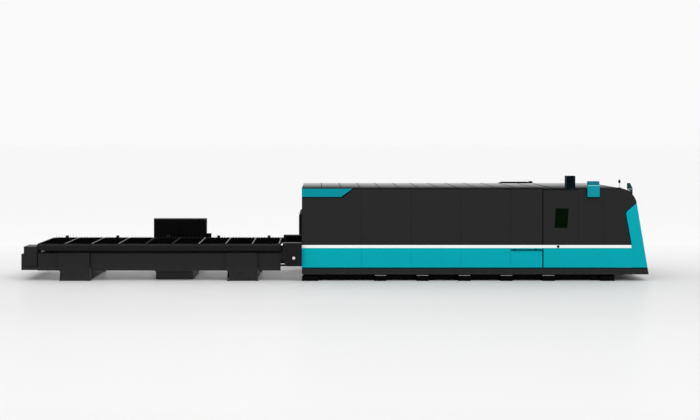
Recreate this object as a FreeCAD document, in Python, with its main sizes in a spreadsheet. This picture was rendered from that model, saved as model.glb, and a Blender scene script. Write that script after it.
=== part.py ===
"""Fiber laser cutting machine with a closed cabin and a two-level exchange table.

X runs along the machine, from the exchange table to the rounded nose, -Y is the front
and Z is up.  The origin lies on the floor, under the middle of the overall length and
depth.  All sizes are millimetres.
"""
import FreeCAD
import Part
import Sketcher
import os
import re

SIZES = {
    # Overall
    "nose_length": 1137,
    "cabin_depth": 3500,
    "roof_top": 2361,
    "hood_depth": 90,
    # Rails and levels of the exchange table
    "rail_level": 706,
    "level_drop": 310,
    "rail_height": 20,
    "rail_width": 50,
    "ledge_wall": 20,
    "side_beam_bottom": 252,
    "side_beam_width": 70,
    "bed_beam_bottom": 340,
    "bridge_bottom": 520,
    "rail_joint": 544,
    "rail_overrun": 76,
    # Platforms
    "platform_length": 6212,
    "platform_gap": 576,
    "platform_overhang": 31,
    "bed_gap": 212,
    "axle_drop": 4,
    "tube_width": 50,
    "tube_height": 160,
    "core_width": 2020,
    "bays": 9,
    "bar_width": 25,
    "bar_height": 100,
    "arm_drop": 20,
    "arm_length": 92,
    "rib_width": 30,
    "rib_height": 55,
    "rib_spread": 640,
    "fascia_wall": 8,
    "fascia_nose": 76,
    "fascia_tail": 45,
    "slats_per_bay": 8,
    "slat_wall": 5,
    "slat_rise": 25,
    "slat_height": 115,
    "slat_end_gap": 1,
    "slat_teeth": 5,
    "tooth_depth": 30,
    "stop_first": 328,
    "stop_length": 75,
    "stop_depth": 130,
    "stop_height": 62,
    # Wheels
    "wheel_radius": 50,
    "wheel_width": 40,
    "upper_wheel_gap": 40,
    "lower_wheel_gap": 20,
    "axle_radius": 15,
    "axle_pad_length": 80,
    "axle_pad_drop": 28,
    "bore_clearance": 0.05,
    # Table frame
    "end_beam_length": 418,
    "end_beam_bottom": 265,
    "end_beam_drop": 30,
    "end_beam_wall": 15,
    "leg_cover_depth": 95,
    "leg_width": 796,
    "leg_end_gap": 539,
    "leg_bed_gap": 601,
    "leg_top_drop": 6,
    "leg_toe_inset": 82,
    "leg_chamfer_top": 285,
    "leg_chamfer_low": 200,
    "leg_box_inset": 10,
    "mid_leg_gap": 872,
    "mid_leg_width": 950,
    "mid_leg_depth": 1700,
    "foot_plate_height": 20,
    "foot_plate_depth": 200,
    "foot_tab_length": 52,
    "anchor_radius": 11,
    "jack_radius": 12,
    "jack_setback": 45,
    "jack_lug_width": 30,
    "jack_lug_level": 330,
    # Drive
    "housing_start": 62,
    "housing_length": 315,
    "housing_height": 188,
    "housing_depth": 620,
    "shaft_radius": 25,
    "shaft_drop": 156,
    "shaft_start": 250,
    "sprocket_radius": 60,
    "sprocket_width": 20,
    "sprocket_gauge": 1700,
    "sprocket_teeth": 12,
    "sprocket_tooth_height": 14,
    # Entry frames
    "entry_length": 485,
    "entry_rear_length": 534,
    "entry_width": 140,
    "entry_drop": 326,
    "entry_rise": 266,
    "entry_flange_height": 12,
    "entry_clearance": 40,
    "entry_corner_length": 105,
    "entry_corner_height": 117,
    "entry_hole_radius": 52,
    "entry_hole_inset": 281,
    "entry_hole_drop": 118,
    # Control cabinet
    "cabinet_gap": 2730,
    "cabinet_length": 1473,
    "cabinet_depth": 260,
    "cabinet_height": 1360,
    "cabinet_wall": 25,
    "cabinet_rim_left": 111,
    "cabinet_rim_right": 139,
    "cabinet_rim_low": 80,
    "cabinet_rim_high": 45,
    "door_wall": 22,
    "door_gap": 3,
    "pin_set": 7,
    "handle_height": 190,
    "handle_width": 24,
    "handle_depth": 28,
    "handle_level": 1020,
    "duct_width": 130,
    "duct_height": 45,
    "duct_level": 905,
    "duct_depth": 90,
    "duct_run_level": 100,
    # Cabin base
    "skirt_bottom": 166,
    "skirt_top": 339,
    "stripe_bottom": 839,
    "stripe_top": 914,
    "panel_wall": 30,
    "seam_width": 4,
    "door_seam_width": 12,
    "cover_gap": 15,
    "base_beam_width": 120,
    "base_run_back": 1408,
    "base_inset": 190,
    "base_end_back": 846,
    "cross_width": 90,
    "cross_inset": 30,
    "foot_length": 300,
    "foot_end_length": 420,
    "foot_height": 120,
    "foot_step_depth": 20,
    "foot_first_gap": 2004,
    "foot_last_gap": 2555,
    "foot_count": 5,
    "foot_end_back": 1228,
    "foot_end_width": 355,
    # Cabin frame and panels
    "post_width": 45,
    "roof_wall": 25,
    "roof_seam_pitch": 500,
    "roof_seam_depth": 4,
    "bed_inset": 59,
    "end_panel_width": 1522,
    "cover_panel_width": 834,
    "flap_panel_width": 895,
    "hood_panel_width": 660,
    "accent_start": 10,
    "accent_top_length": 1282,
    "accent_low_length": 989,
    "accent_top_gap": 9,
    "accent_height": 210,
    "accent_wall": 3,
    # Nose
    "nose_top_back": 693,
    "nose_knee_back": 306,
    "nose_knee_drop": 359,
    "nose_radius": 480,
    "teal_tip_back": 310,
    "teal_tip_drop": 372,
    "teal_step_back": 570,
    "teal_step_drop": 585,
    "teal_step_height": 69,
    "teal_step_length": 16,
    "stripe_end_back": 443,
    "shell_wall": 30,
    "fin_back": 522,
    "fin_length": 122,
    "fin_rise": 129,
    "fin_round_length": 60,
    "fin_drop": 201,
    "fin_inset": 40,
    "fin_depth": 95,
    # Portal, door and pocket
    "portal_drop": 386,
    "portal_rise": 474,
    "portal_clearance": 15,
    "portal_inset": 75,
    "pocket_depth": 74,
    "pocket_wall": 6,
    "pocket_height": 524,
    "pocket_chamfer_length": 40,
    "pocket_side_width": 20,
    "guide_width": 22,
    "guide_drop": 468,
    "leaf_wall": 24,
    "leaf_height": 490,
    "leaf_side_gap": 5,
    "slide_gap": 0.3,
    # Roof and side fittings
    "stack_gap": 73,
    "stack_length": 226,
    "stack_depth": 240,
    "stack_height": 314,
    "stack_setback": 5,
    "stack_wall": 10,
    "stack_bore": 90,
    "hood_gap": 228,
    "hood_length": 300,
    "hood_drop": 214,
    "hood_face_rise": 72,
    "hood_rise": 182,
    "hood_back_depth": 40,
    "hood_slope_depth": 60,
    "beacon_back": 700,
    "beacon_setback": 200,
    "beacon_pole_radius": 8,
    "beacon_pole_height": 128,
    "beacon_radius": 28,
    "beacon_height": 78,
    "roof_duct_gap": 672,
    "roof_duct_length": 835,
    "roof_duct_point_length": 110,
    "roof_duct_height": 40,
    "roof_duct_depth": 160,
    "roof_box_gap": 40,
    "roof_box_length": 88,
    "roof_box_height": 55,
    # Flap, its window and lock, and the access cover
    "window_gap": 313,
    "window_length": 301,
    "window_lean_length": 34,
    "window_level": 1354,
    "window_height": 467,
    "glass_wall": 8,
    "glass_set": 4,
    "lock_gap": 392,
    "lock_level": 876,
    "lock_radius": 20,
    "lock_depth": 14,
    "tongue_length": 80,
    "tongue_width": 24,
    "tongue_wall": 5,
    "cover_drop": 54,
    "hinge_radius": 10,
    "hinge_pin_radius": 5,
    "hinge_leaf_wall": 4,
    "hinge_length": 60,
    "hinge_leaf_height": 60,
    "hinge_rise": 14,
    "hinge_inset": 150,
    # Gantry and laser
    "column_start": 332,
    "column_end_gap": 91,
    "column_depth": 500,
    "column_clearance": 55,
    "column_rise": 444,
    "guide_rail_width": 40,
    "guide_rail_height": 30,
    "guide_rail_inset": 60,
    "gantry_rest_gap": 491,
    "saddle_length": 600,
    "saddle_height": 120,
    "saddle_overhang": 20,
    "arm_width": 300,
    "arm_tip_gap": 65,
    "arm_root_height": 320,
    "arm_tip_rise": 120,
    "arm_rail_width": 20,
    "carriage_offset": 905,
    "carriage_length": 300,
    "carriage_height": 180,
    "carriage_wall": 60,
    "head_slide_height": 320,
    "head_slide_width": 140,
    "head_slide_wall": 40,
    "head_radius": 45,
    "head_step_height": 40,
    "head_drop": 90,
    "nozzle_radius": 8,
    "nozzle_height": 105,
    "laser_gap": 19,
    "laser_length": 680,
    "laser_depth": 1100,
    "laser_height": 1400,
    "laser_offset": 300,
}

# Places that follow from the sizes above.
PLACES = {
    "seam_1": "end_panel_width",
    "seam_2": "seam_1 + even_panel_width",
    "seam_3": "seam_2 + even_panel_width",
    "seam_4": "seam_5 - cover_panel_width",
    "seam_5": "platform_length - bed_inset",
    "seam_5_left": "seam_5 - door_seam_width / 2",
    "seam_5_right": "seam_5 + door_seam_width / 2",
    "seam_6": "seam_5 + flap_panel_width",
    "seam_7": "seam_6 + hood_panel_width",
    "even_panel_width": "(seam_4 - seam_1) / 3",
    "cabin_length": "seam_7 + nose_length",
    "table_reach": "end_beam_length - platform_overhang + platform_length + platform_gap",
    "travel": "platform_length + platform_gap + bed_gap",
    "cabin_left": "(table_reach - cabin_length) / 2",
    "cabin_right": "cabin_left + cabin_length",
    "table_left": "cabin_left - table_reach",
    "fascia_width": "core_width + 2 * (arm_length + fascia_wall)",
    "portal_width": "fascia_width + 2 * portal_clearance",
    "front": "(hood_depth - cabin_depth) / 2",
    "back": "front + cabin_depth",
    "table_mid": "front + portal_inset + portal_width / 2",
    "panel_back": "front + panel_wall",
    "rear_panel_front": "back - panel_wall",
    "roof_bottom": "roof_top - roof_wall",
    "beam_left": "table_left + end_beam_length",
    "beam_right": "cabin_left - rail_joint",
    "bed_rail_end": "bed_gap + platform_length + rail_overrun",
    "upper_gauge": "core_width + 2 * upper_wheel_gap + wheel_width",
    "lower_gauge": "core_width - 2 * (tube_width + lower_wheel_gap) - wheel_width",
    "beam_half": "(upper_gauge + side_beam_width) / 2",
    "ledge_width": "beam_half - side_beam_width - (lower_gauge - rail_width) / 2",
    "table_width": "2 * (beam_half + leg_cover_depth)",
    "platform_left": "cabin_left - platform_gap - platform_length",
    "core_half": "core_width / 2",
    "fascia_inside": "fascia_width / 2 - fascia_wall",
    "bay": "(platform_length - bar_width) / bays",
    "a_base": "rail_level + wheel_radius + axle_drop",
    "b_base": "a_base - level_drop",
    "a_wheel_level": "rail_level + wheel_radius + slide_gap",
    "b_wheel_level": "a_wheel_level - level_drop",
    "wheel_1": "platform_left + 1.5 * bay",
    "wheel_2": "platform_left + platform_length - 1.5 * bay",
    "leg_1": "beam_left + leg_end_gap",
    "leg_2": "beam_right - leg_bed_gap - leg_width",
    "mid_leg": "leg_2 - mid_leg_gap - mid_leg_width",
    "leg_top": "rail_level - leg_top_drop",
    "end_beam_top": "rail_level - end_beam_drop",
    "shaft_level": "end_beam_top - shaft_drop",
    "cabinet_left": "cabin_left - cabinet_gap - cabinet_length",
    "cabinet_front": "back - cabinet_depth",
    "leaf_space": "cabinet_length - cabinet_rim_left - cabinet_rim_right",
    "cabinet_leaf": "leaf_space / 2 - 1.5 * door_gap",
    "entry_half": "fascia_width / 2 + entry_clearance",
    "entry_bottom": "rail_level - entry_drop",
    "entry_top": "rail_level + entry_rise",
    "portal_half": "portal_width / 2",
    "portal_bottom": "rail_level - portal_drop",
    "portal_top": "rail_level + portal_rise",
    "pocket_top": "portal_top + pocket_height",
    "guide_bottom": "portal_top - guide_drop",
    "cross_height": "skirt_bottom - foot_height",
    "base_run": "cabin_length - base_run_back",
    "base_end": "cabin_length - base_end_back",
    "foot_end_start": "cabin_length - foot_end_back",
    "foot_pitch": "(cabin_length - foot_first_gap - foot_last_gap) / (foot_count - 1)",
    "nose_top_end": "cabin_length - nose_top_back",
    "nose_knee_x": "cabin_length - nose_knee_back",
    "nose_knee_z": "roof_top - nose_knee_drop",
    "nose_lean": "nose_knee_back / (nose_knee_z - skirt_bottom)",
    "teal_tip_x": "cabin_length - teal_tip_back",
    "teal_tip_z": "roof_top - teal_tip_drop",
    "teal_back_x": "cabin_length - teal_step_back",
    "teal_back_high": "roof_top - teal_step_drop",
    "teal_back_low": "teal_back_high - teal_step_height",
    "stripe_end": "cabin_length - stripe_end_back",
    "fin_start": "cabin_length - fin_back",
    "fin_top": "roof_top + fin_rise",
    "fin_base": "roof_top - fin_drop",
    "stack_start": "seam_6 - stack_gap - stack_length",
    "hood_start": "seam_6 + hood_gap",
    "hood_bottom": "roof_top - hood_drop",
    "hood_face_top": "roof_top + hood_face_rise",
    "hood_top": "roof_top + hood_rise",
    "roof_duct_start": "seam_5 - roof_duct_gap",
    "beacon_start": "cabin_length - beacon_back",
    "cover_top": "stripe_bottom - cover_drop",
    "column_front": "table_mid + fascia_width / 2 + column_clearance",
    "column_length": "seam_6 - column_end_gap - column_start",
    "column_top": "rail_level + column_rise",
    "rail_top": "column_top + guide_rail_height",
    "arm_bottom": "rail_top + slide_gap + saddle_height",
    "arm_tip": "table_mid - core_half + arm_tip_gap",
    "park": "cabin_left + seam_6 - gantry_rest_gap",
    "arm_face": "park - arm_width / 2",
    "carriage_mid": "table_mid + carriage_offset",
    "carriage_face": "arm_face - arm_rail_width - slide_gap - carriage_wall",
    "head_bottom": "arm_bottom - head_drop",
    "nozzle_tip": "head_bottom - nozzle_height",
    "flap_top": "roof_bottom - hinge_rise",
    "window_left": "cabin_left + seam_5 + window_gap",
    "lock_x": "cabin_left + seam_5 + lock_gap",
}

SEAMS = ["seam_%d" % number for number in range(1, 8)]

doc = FreeCAD.newDocument("laser_cutting_machine")
sheet = doc.addObject("Spreadsheet::Sheet", "Sizes")
nodes = []


def fill_sheet():
    """Write every size into its own named cell."""
    for row, (name, value) in enumerate(SIZES.items(), start=1):
        cell = "B%d" % row
        sheet.set("A%d" % row, name)
        sheet.set(cell, str(value))
        sheet.setAlias(cell, name)
    doc.recompute()


def full(text):
    """Spell out the places in an expression and point its sizes at the sheet."""
    def swap(match):
        word = match.group(0)
        if word in PLACES:
            return "(" + full(PLACES[word]) + ")"
        if word in SIZES:
            return "Sizes." + word
        return word
    return re.sub(r"[a-z][a-z_0-9]*", swap, str(text))


def number(text):
    """Work out an expression with the sizes that the sheet holds now."""
    def swap(match):
        return repr(float(sheet.get(match.group(1))))
    plain = re.sub(r"Sizes\.([a-z_0-9]+)", swap, full(text))
    return float(FreeCAD.Units.Quantity(plain).Value)


def bind(thing, **fields):
    """Tie properties of an object to expressions, with x, y and z for its place."""
    for field, text in fields.items():
        path = "Placement.Base." + field if field in "xyz" else field
        thing.setExpression(path, full(text))
    return thing


def box(name, x, y, z, length, width, height):
    """Make a block from its low corner and its three sizes."""
    block = doc.addObject("Part::Box", name)
    return bind(block, x=x, y=y, z=z, Length=length, Width=width, Height=height)


def rod(name, x, y, z, radius, height, axis="z"):
    """Make a round bar that starts at a point and runs along an axis."""
    bar = doc.addObject("Part::Cylinder", name)
    turns = {"x": (0, 1, 0, 90), "y": (1, 0, 0, -90)}
    if axis in turns:
        *way, angle = turns[axis]
        turn = FreeCAD.Rotation(FreeCAD.Vector(*way), angle)
        bar.Placement = FreeCAD.Placement(FreeCAD.Vector(), turn)
    return bind(bar, x=x, y=y, z=z, Radius=radius, Height=height)


def cut(name, base, tool):
    """Take one shape away from another."""
    result = doc.addObject("Part::Cut", name)
    result.Base = base
    result.Tool = tool
    return result


def fuse(name, pieces):
    """Weld pieces into one solid."""
    result = doc.addObject("Part::MultiFuse", name)
    result.Shapes = pieces
    result.Refine = True
    return result


def group(name, pieces):
    """Hold like pieces together as separate solids."""
    result = doc.addObject("Part::Compound", name)
    result.Links = pieces
    return result


def node(name, thing):
    """Give a finished sub-part its own name and note it for export."""
    thing.Label = name
    nodes.append(thing)
    return thing


def plane_of(body, role):
    """Find one of a body's own origin planes or axes."""
    for feature in body.Origin.OriginFeatures:
        if feature.Role == role:
            return feature
    raise RuntimeError("no " + role)


def outline(body, role, points, arcs=()):
    """Draw a closed outline whose corners follow expressions.

    An entry (edge, radius) of arcs turns that edge into an arc; a negative radius
    gives a hollow one.  Corners run anticlockwise.
    """
    sketch = body.newObject("Sketcher::SketchObject", body.Name + "_outline")
    sketch.AttachmentSupport = [(plane_of(body, role), "")]
    sketch.MapMode = "FlatFace"
    spots = [FreeCAD.Vector(number(x), number(z), 0) for x, z in points]
    bends = dict(arcs)
    ends = []
    for edge, start in enumerate(spots):
        stop = spots[(edge + 1) % len(spots)]
        if edge not in bends:
            sketch.addGeometry(Part.LineSegment(start, stop))
            ends.append((1, 2))
            continue
        hollow = bends[edge].startswith("-")
        radius = number(bends[edge].lstrip("-"))
        chord = stop - start
        side = FreeCAD.Vector(chord.y, -chord.x, 0).normalize()
        rise = radius - (radius ** 2 - (chord.Length / 2) ** 2) ** 0.5
        crown = start + chord * 0.5 + side * (-rise if hollow else rise)
        sketch.addGeometry(Part.Arc(start, crown, stop))
        ends.append((2, 1) if hollow else (1, 2))
        ring = Sketcher.Constraint("Radius", edge, radius)
        index = sketch.addConstraint(ring)
        text = full(bends[edge].lstrip("-"))
        sketch.setExpression("Constraints[%d]" % index, text)
    for edge, (first, last) in enumerate(ends):
        other = (edge + 1) % len(ends)
        joint = Sketcher.Constraint("Coincident", edge, last, other, ends[other][0])
        sketch.addConstraint(joint)
    for edge, texts in enumerate(points):
        place = (spots[edge].x, spots[edge].y)
        for kind, text, value in zip(("DistanceX", "DistanceY"), texts, place):
            rule = Sketcher.Constraint(kind, -1, 1, edge, ends[edge][0], value)
            index = sketch.addConstraint(rule)
            sketch.setExpression("Constraints[%d]" % index, full(text))
    return sketch


def slab(name, points, start, width, plane="XZ_Plane", arcs=()):
    """Pad an outline: along +Y from the XZ plane, or along +X from the YZ plane."""
    body = doc.addObject("PartDesign::Body", name)
    sketch = outline(body, plane, points, arcs)
    pad = body.newObject("PartDesign::Pad", name + "_pad")
    pad.Profile = sketch
    pad.Reversed = plane == "XZ_Plane"
    bind(pad, Length=width)
    along = "y" if plane == "XZ_Plane" else "x"
    bind(body, **{along: start})
    return body


def both_sides(name, make, half, width):
    """Make the front and rear twin of a piece about the table's centre line."""
    near = "table_mid - (%s)" % half
    far = "table_mid + (%s) - (%s)" % (half, width)
    return [make(name + "_front", near), make(name + "_rear", far)]


# --- Exchange table frame ---

def table_side_beams():
    """Two deep box beams that carry the upper rails."""
    def beam(name, y):
        return box(name, "beam_left", y, "side_beam_bottom", "beam_right - beam_left",
                   "side_beam_width", "rail_level - rail_height - side_beam_bottom")
    node("table_side_beams", group("side_beams", both_sides(
        "side_beam", beam, "beam_half", "side_beam_width")))


def bed_side_beams():
    """Slim beams bridge the entry; deep ones go on inside, on their own cross feet."""
    top = "rail_level - rail_height"

    def bridge(name, y):
        return box(name, "beam_right", y, "bridge_bottom", "rail_joint",
                   "side_beam_width", top + " - bridge_bottom")

    def beam(name, y):
        return box(name, "cabin_left", y, "bed_beam_bottom", "bed_rail_end",
                   "side_beam_width", top + " - bed_beam_bottom")
    pieces = both_sides("bridge_beam", bridge, "beam_half", "side_beam_width")
    pieces += both_sides("bed_beam", beam, "beam_half", "side_beam_width")
    starts = ["cabin_left + panel_wall"]
    starts += ["cabin_left + %s - cross_width / 2" % seam for seam in SEAMS[1:5:2]]
    starts.append("cabin_left + seam_5 - cross_width / 2")
    for index, start in enumerate(starts):
        pieces.append(box(
            "bed_trestle_%d" % index, start, "table_mid - beam_half", "skirt_bottom",
            "cross_width", "2 * beam_half", "bed_beam_bottom - skirt_bottom"))
    node("bed_side_beams", group("bed_beams", pieces))


def rails():
    """Upper rails on the beams, and lower rails on ledges inside them."""
    upper = []
    lower = []
    runs = (("table", "beam_left", "beam_right - beam_left"),
            ("bed", "beam_right", "bed_rail_end + rail_joint"))
    rail_half = "(upper_gauge + rail_width) / 2"
    low_half = "(lower_gauge + rail_width) / 2"
    wall = "beam_half - side_beam_width"
    for run, start, length in runs:
        def bar(name, y):
            return box(name, start, y, "rail_level - rail_height", length,
                       "rail_width", "rail_height")

        def low_bar(name, y):
            return box(name, start, y, "rail_level - level_drop - rail_height", length,
                       "rail_width", "rail_height")

        def ledge(name, y):
            return box(name, start, y,
                       "rail_level - level_drop - rail_height - ledge_wall", length,
                       "ledge_width", "ledge_wall")
        upper += both_sides(run + "_rail", bar, rail_half, "rail_width")
        lower += both_sides(run + "_low_rail", low_bar, low_half, "rail_width")
        lower += both_sides(run + "_ledge", ledge, wall, "ledge_width")
    node("upper_rails", group("upper_bars", upper))
    node("lower_rails", group("lower_bars", lower))


def end_beam():
    """Channel across the far end, open to the table, with bearings for the shaft."""
    wide = "2 * beam_half"
    low = "table_mid - beam_half"
    inner = "end_beam_length - end_beam_wall"
    plates = [
        box("end_back", "table_left", low, "end_beam_bottom", "end_beam_wall", wide,
            "end_beam_top - end_beam_bottom"),
        box("end_floor", "table_left + end_beam_wall", low, "end_beam_bottom", inner,
            wide, "end_beam_wall"),
        box("end_roof", "table_left + end_beam_wall", low,
            "end_beam_top - end_beam_wall", inner, wide, "end_beam_wall"),
    ]
    for side, y in (("front", low), ("rear", "table_mid + beam_half - end_beam_wall")):
        plate = box("end_plate_" + side, "table_left + end_beam_wall", y,
                    "end_beam_bottom + end_beam_wall", inner, "end_beam_wall",
                    "end_beam_top - end_beam_bottom - 2 * end_beam_wall")
        bore = rod("shaft_bore_" + side, "table_left + shaft_start", y, "shaft_level",
                   "shaft_radius + bore_clearance", "end_beam_wall", "y")
        plates.append(cut("end_bearing_" + side, plate, bore))
    node("table_end_beam", group("end_channel", plates))


def drive():
    """Geared drive under its cover on the end beam, and the cross shaft."""
    near = "table_mid - beam_half"
    node("drive_housing", box("housing", "table_left + housing_start", near,
                              "end_beam_top", "housing_length", "housing_depth",
                              "housing_height"))
    start = "table_left + shaft_start"
    pieces = [rod("shaft", start, near, "shaft_level", "shaft_radius",
                  "2 * beam_half", "y")]
    for side, sign in (("front", "-"), ("rear", "+")):
        y = "table_mid %s sprocket_gauge / 2 - sprocket_width / 2" % sign
        pieces.append(sprocket("sprocket_" + side, start, y))
    node("drive_shaft", fuse("cross_shaft", pieces))


def sprocket(name, x, y):
    """A chain wheel with straight-sided teeth, on an axis along Y."""
    count = int(number("sprocket_teeth"))
    tip = number("sprocket_radius")
    root = tip - number("sprocket_tooth_height")
    corners = []
    for tooth in range(count):
        for radius, share in ((root, 0.1), (tip, 0.35), (tip, 0.65), (root, 0.9)):
            turn = FreeCAD.Rotation(FreeCAD.Vector(0, 1, 0), 360 * (tooth + share) / count)
            corners.append(turn.multVec(FreeCAD.Vector(radius, 0, 0)))
    rim = Part.Face(Part.makePolygon(corners + corners[:1]))
    feature = doc.addObject("Part::Feature", name)
    feature.Shape = rim.extrude(FreeCAD.Vector(0, number("sprocket_width"), 0))
    return bind(feature, x=x, y=y, z="shaft_level")


def legs():
    """Folded leg covers, the cross boxes between them, foot plates and jacks."""
    covers = []
    boxes = []
    plates = []
    jacks = []
    foot_left = "leg_toe_inset - foot_tab_length"
    for index, left in enumerate(("leg_1", "leg_2")):
        points = [(left + " + leg_toe_inset", "foot_plate_height"),
                  (left + " + leg_width", "foot_plate_height"),
                  (left + " + leg_width", "leg_top"),
                  (left, "leg_top"),
                  (left, "leg_chamfer_top"),
                  (left + " + leg_toe_inset", "leg_chamfer_low")]
        jack_x = left + " + leg_width + jack_lug_width / 2"
        for side, sign in (("front", "-"), ("rear", "+")):
            tag = "%d_%s" % (index, side)
            outer = "table_mid %s table_width / 2" % sign
            low = outer if sign == "-" else outer + " - leg_cover_depth"
            sheet_metal = slab("cover_" + tag, points, low, "leg_cover_depth")
            jack_y = "%s %s jack_setback" % (outer, "+" if sign == "-" else "-")
            lug = box("lug_" + tag, left + " + leg_width", jack_y + " - jack_lug_width / 2",
                      "jack_lug_level", "jack_lug_width", "jack_lug_width", "jack_lug_width")
            covers.append(fuse("leg_" + tag, [sheet_metal, lug]))
            jacks.append(rod("jack_" + tag, jack_x, jack_y, "foot_plate_height",
                             "jack_radius", "jack_lug_level - foot_plate_height"))
            edge = outer if sign == "-" else outer + " - foot_plate_depth"
            plate = box("plate_" + tag, left + " + " + foot_left, edge, 0,
                        "leg_width - (%s) + jack_lug_width" % foot_left, "foot_plate_depth",
                        "foot_plate_height")
            anchor = rod("anchor_" + tag, "%s + %s + foot_tab_length / 2" % (left, foot_left),
                         edge + " + foot_plate_depth / 2", 0, "anchor_radius",
                         "foot_plate_height")
            plates.append(cut("foot_" + tag, plate, anchor))
        boxes.append(box(
            "cross_box_%d" % index, left + " + leg_toe_inset + leg_box_inset",
            "table_mid - beam_half", "foot_plate_height",
            "leg_width - leg_toe_inset - 2 * leg_box_inset", "2 * beam_half",
            "side_beam_bottom - foot_plate_height"))
    boxes.append(box("mid_leg_box", "mid_leg",
                     "table_mid - mid_leg_depth / 2", 0, "mid_leg_width",
                     "mid_leg_depth", "side_beam_bottom"))
    saddle = "beam_half - mid_leg_depth / 2"
    for side, y in (("front", "table_mid - beam_half"),
                    ("rear", "table_mid + mid_leg_depth / 2")):
        boxes.append(box("mid_saddle_" + side, "mid_leg", y,
                         "side_beam_bottom - ledge_wall", "mid_leg_width", saddle,
                         "ledge_wall"))
    node("leg_covers", group("covers", covers))
    node("table_legs", group("leg_boxes", boxes))
    node("foot_plates", group("plates", plates))
    node("jack_screws", group("jacks", jacks))


def entry_frames():
    """Side boxes beside the way into the cabin, each with a flange and a round hole."""
    pieces = []
    for side, y, length in (
            ("front", "table_mid - entry_half - entry_width", "entry_length"),
            ("rear", "table_mid + entry_half", "entry_rear_length")):
        left = "cabin_left - " + length
        points = [(left + " + entry_corner_length", "entry_bottom"),
                  ("cabin_left", "entry_bottom"),
                  ("cabin_left", "entry_top"),
                  (left, "entry_top"),
                  (left, "entry_bottom + entry_corner_height")]
        frame = slab("entry_box_" + side, points, y, "entry_width")
        hole = rod("entry_hole_" + side, left + " + entry_hole_inset", y,
                   "rail_level - entry_hole_drop",
                   "entry_hole_radius", "entry_width", "y")
        flange = box("entry_flange_" + side, left, y, "entry_top", length,
                     "entry_width", "entry_flange_height")
        pieces.append(fuse("entry_" + side, [cut("entry_cut_" + side, frame, hole), flange]))
    node("entry_frames", group("entries", pieces))


# --- Platforms ---

def platform_frame(letter, base, shift):
    """Frame: side tubes, slat ribs and a bar at each bay line, welded face to face."""
    left = "platform_left + " + shift
    rib_z = base + " + tube_height + slat_rise - slat_height - rib_height"
    bar_z = rib_z + " + rib_height"

    def tube(name, y):
        return box(name, left, y, base, "platform_length", "tube_width", "tube_height")
    pieces = both_sides(letter + "_tube", tube, "core_half", "tube_width")
    for index in (-1, 0, 1):
        pieces.append(box(
            "%s_rib_%d" % (letter, index + 1), left,
            "table_mid + %d * rib_spread - rib_width / 2" % index, rib_z,
            "platform_length", "rib_width", "rib_height"))
    for index in range(int(number("bays")) + 1):
        x = "%s + %d * bay" % (left, index)
        pieces.append(box("%s_bar_%d" % (letter, index), x,
                          "table_mid - core_half + tube_width", bar_z, "bar_width",
                          "core_width - 2 * tube_width", "bar_height"))
        if letter == "a":
            def arm(name, y):
                return box(name, x, y, "a_base + arm_drop", "bar_width", "arm_length",
                           "tube_height - 2 * arm_drop")
            pieces += both_sides("a_arm_%d" % index, arm, "fascia_inside", "arm_length")
    if letter == "a":
        tail = left + " + platform_length + fascia_tail"
        points = [(left + " + 2 * fascia_nose", "a_base"),
                  (tail, "a_base"), (tail, "a_base + tube_height"),
                  (left + " + fascia_nose", "a_base + tube_height"),
                  (left, "a_base + tube_height * 0.75"),
                  (left, "a_base + tube_height * 0.4")]

        def fascia(name, y):
            return slab(name, points, y, "fascia_wall")
        pieces += both_sides("a_fascia", fascia, "fascia_width / 2", "fascia_wall")
    for mark in ("1", "2"):
        pieces += axle_blocks(letter, mark, base, shift)
    node("platform_%s_frame" % letter, group("frame_" + letter, pieces))


def axle_blocks(letter, mark, base, shift):
    """Block under each side tube with a stub axle: outwards above, inwards below."""
    upper = letter == "a"
    x = "wheel_%s + %s" % (mark, shift)
    z = "a_wheel_level" if upper else "b_wheel_level"
    reach_in = "core_half" if upper else "(lower_gauge - rail_width) / 2"
    reach_out = "(upper_gauge + rail_width) / 2" if upper else "core_half - tube_width"

    def block(name, y):
        return box(name, x + " - axle_pad_length / 2", y, base + " - axle_pad_drop",
                   "axle_pad_length", "tube_width", "axle_pad_drop")

    def axle(name, y):
        return rod(name, x, y, z, "axle_radius", "%s - (%s)" % (reach_out, reach_in), "y")
    tag = "%s_%s_" % (letter, mark)
    blocks = both_sides(tag + "block", block, "core_half", "tube_width")
    axles = both_sides(tag + "axle", axle, reach_out, "(%s - (%s))" % (reach_out, reach_in))
    return blocks + axles


def platform_slats(letter, base, shift):
    """Saw-toothed support slats, standing between the bars in every bay."""
    body = doc.addObject("PartDesign::Body", "slats_" + letter)
    half = "(core_half - tube_width - slat_end_gap)"
    top = base + " + tube_height + slat_rise"
    foot = top + " - slat_height"
    count = int(number("slat_teeth"))
    points = [("table_mid - " + half, foot), ("table_mid + " + half, foot)]
    for index in range(count):
        step = "table_mid + %s - %s * 2 * %%s / slat_teeth" % (half, half)
        points.append((step % index, top + " - tooth_depth"))
        points.append((step % (index + 0.5), top))
    points.append(("table_mid - " + half, top + " - tooth_depth"))
    sketch = outline(body, "YZ_Plane", points)
    pad = body.newObject("PartDesign::Pad", "slat_" + letter)
    pad.Profile = sketch
    bind(pad, Length="slat_wall")
    pitch = "((bay) / (slats_per_bay + 1))"
    within = body.newObject("PartDesign::LinearPattern", "slat_row_" + letter)
    along = body.newObject("PartDesign::LinearPattern", "bay_row_" + letter)
    whole = body.newObject("PartDesign::MultiTransform", "slat_field_" + letter)
    for pattern, copies, length in ((within, "slats_per_bay", pitch + " * (slats_per_bay - 1)"),
                                    (along, "bays", "(bay) * (bays - 1)")):
        pattern.Direction = (plane_of(body, "X_Axis"), [""])
        bind(pattern, Occurrences=copies, Length=length)
    whole.Originals = [pad]
    whole.Transformations = [within, along]
    body.Tip = whole
    first = "platform_left + %s + bar_width / 2 - slat_wall / 2 + %s" % (shift, pitch)
    bind(body, x=first)
    node("platform_%s_slats" % letter, body)


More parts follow.
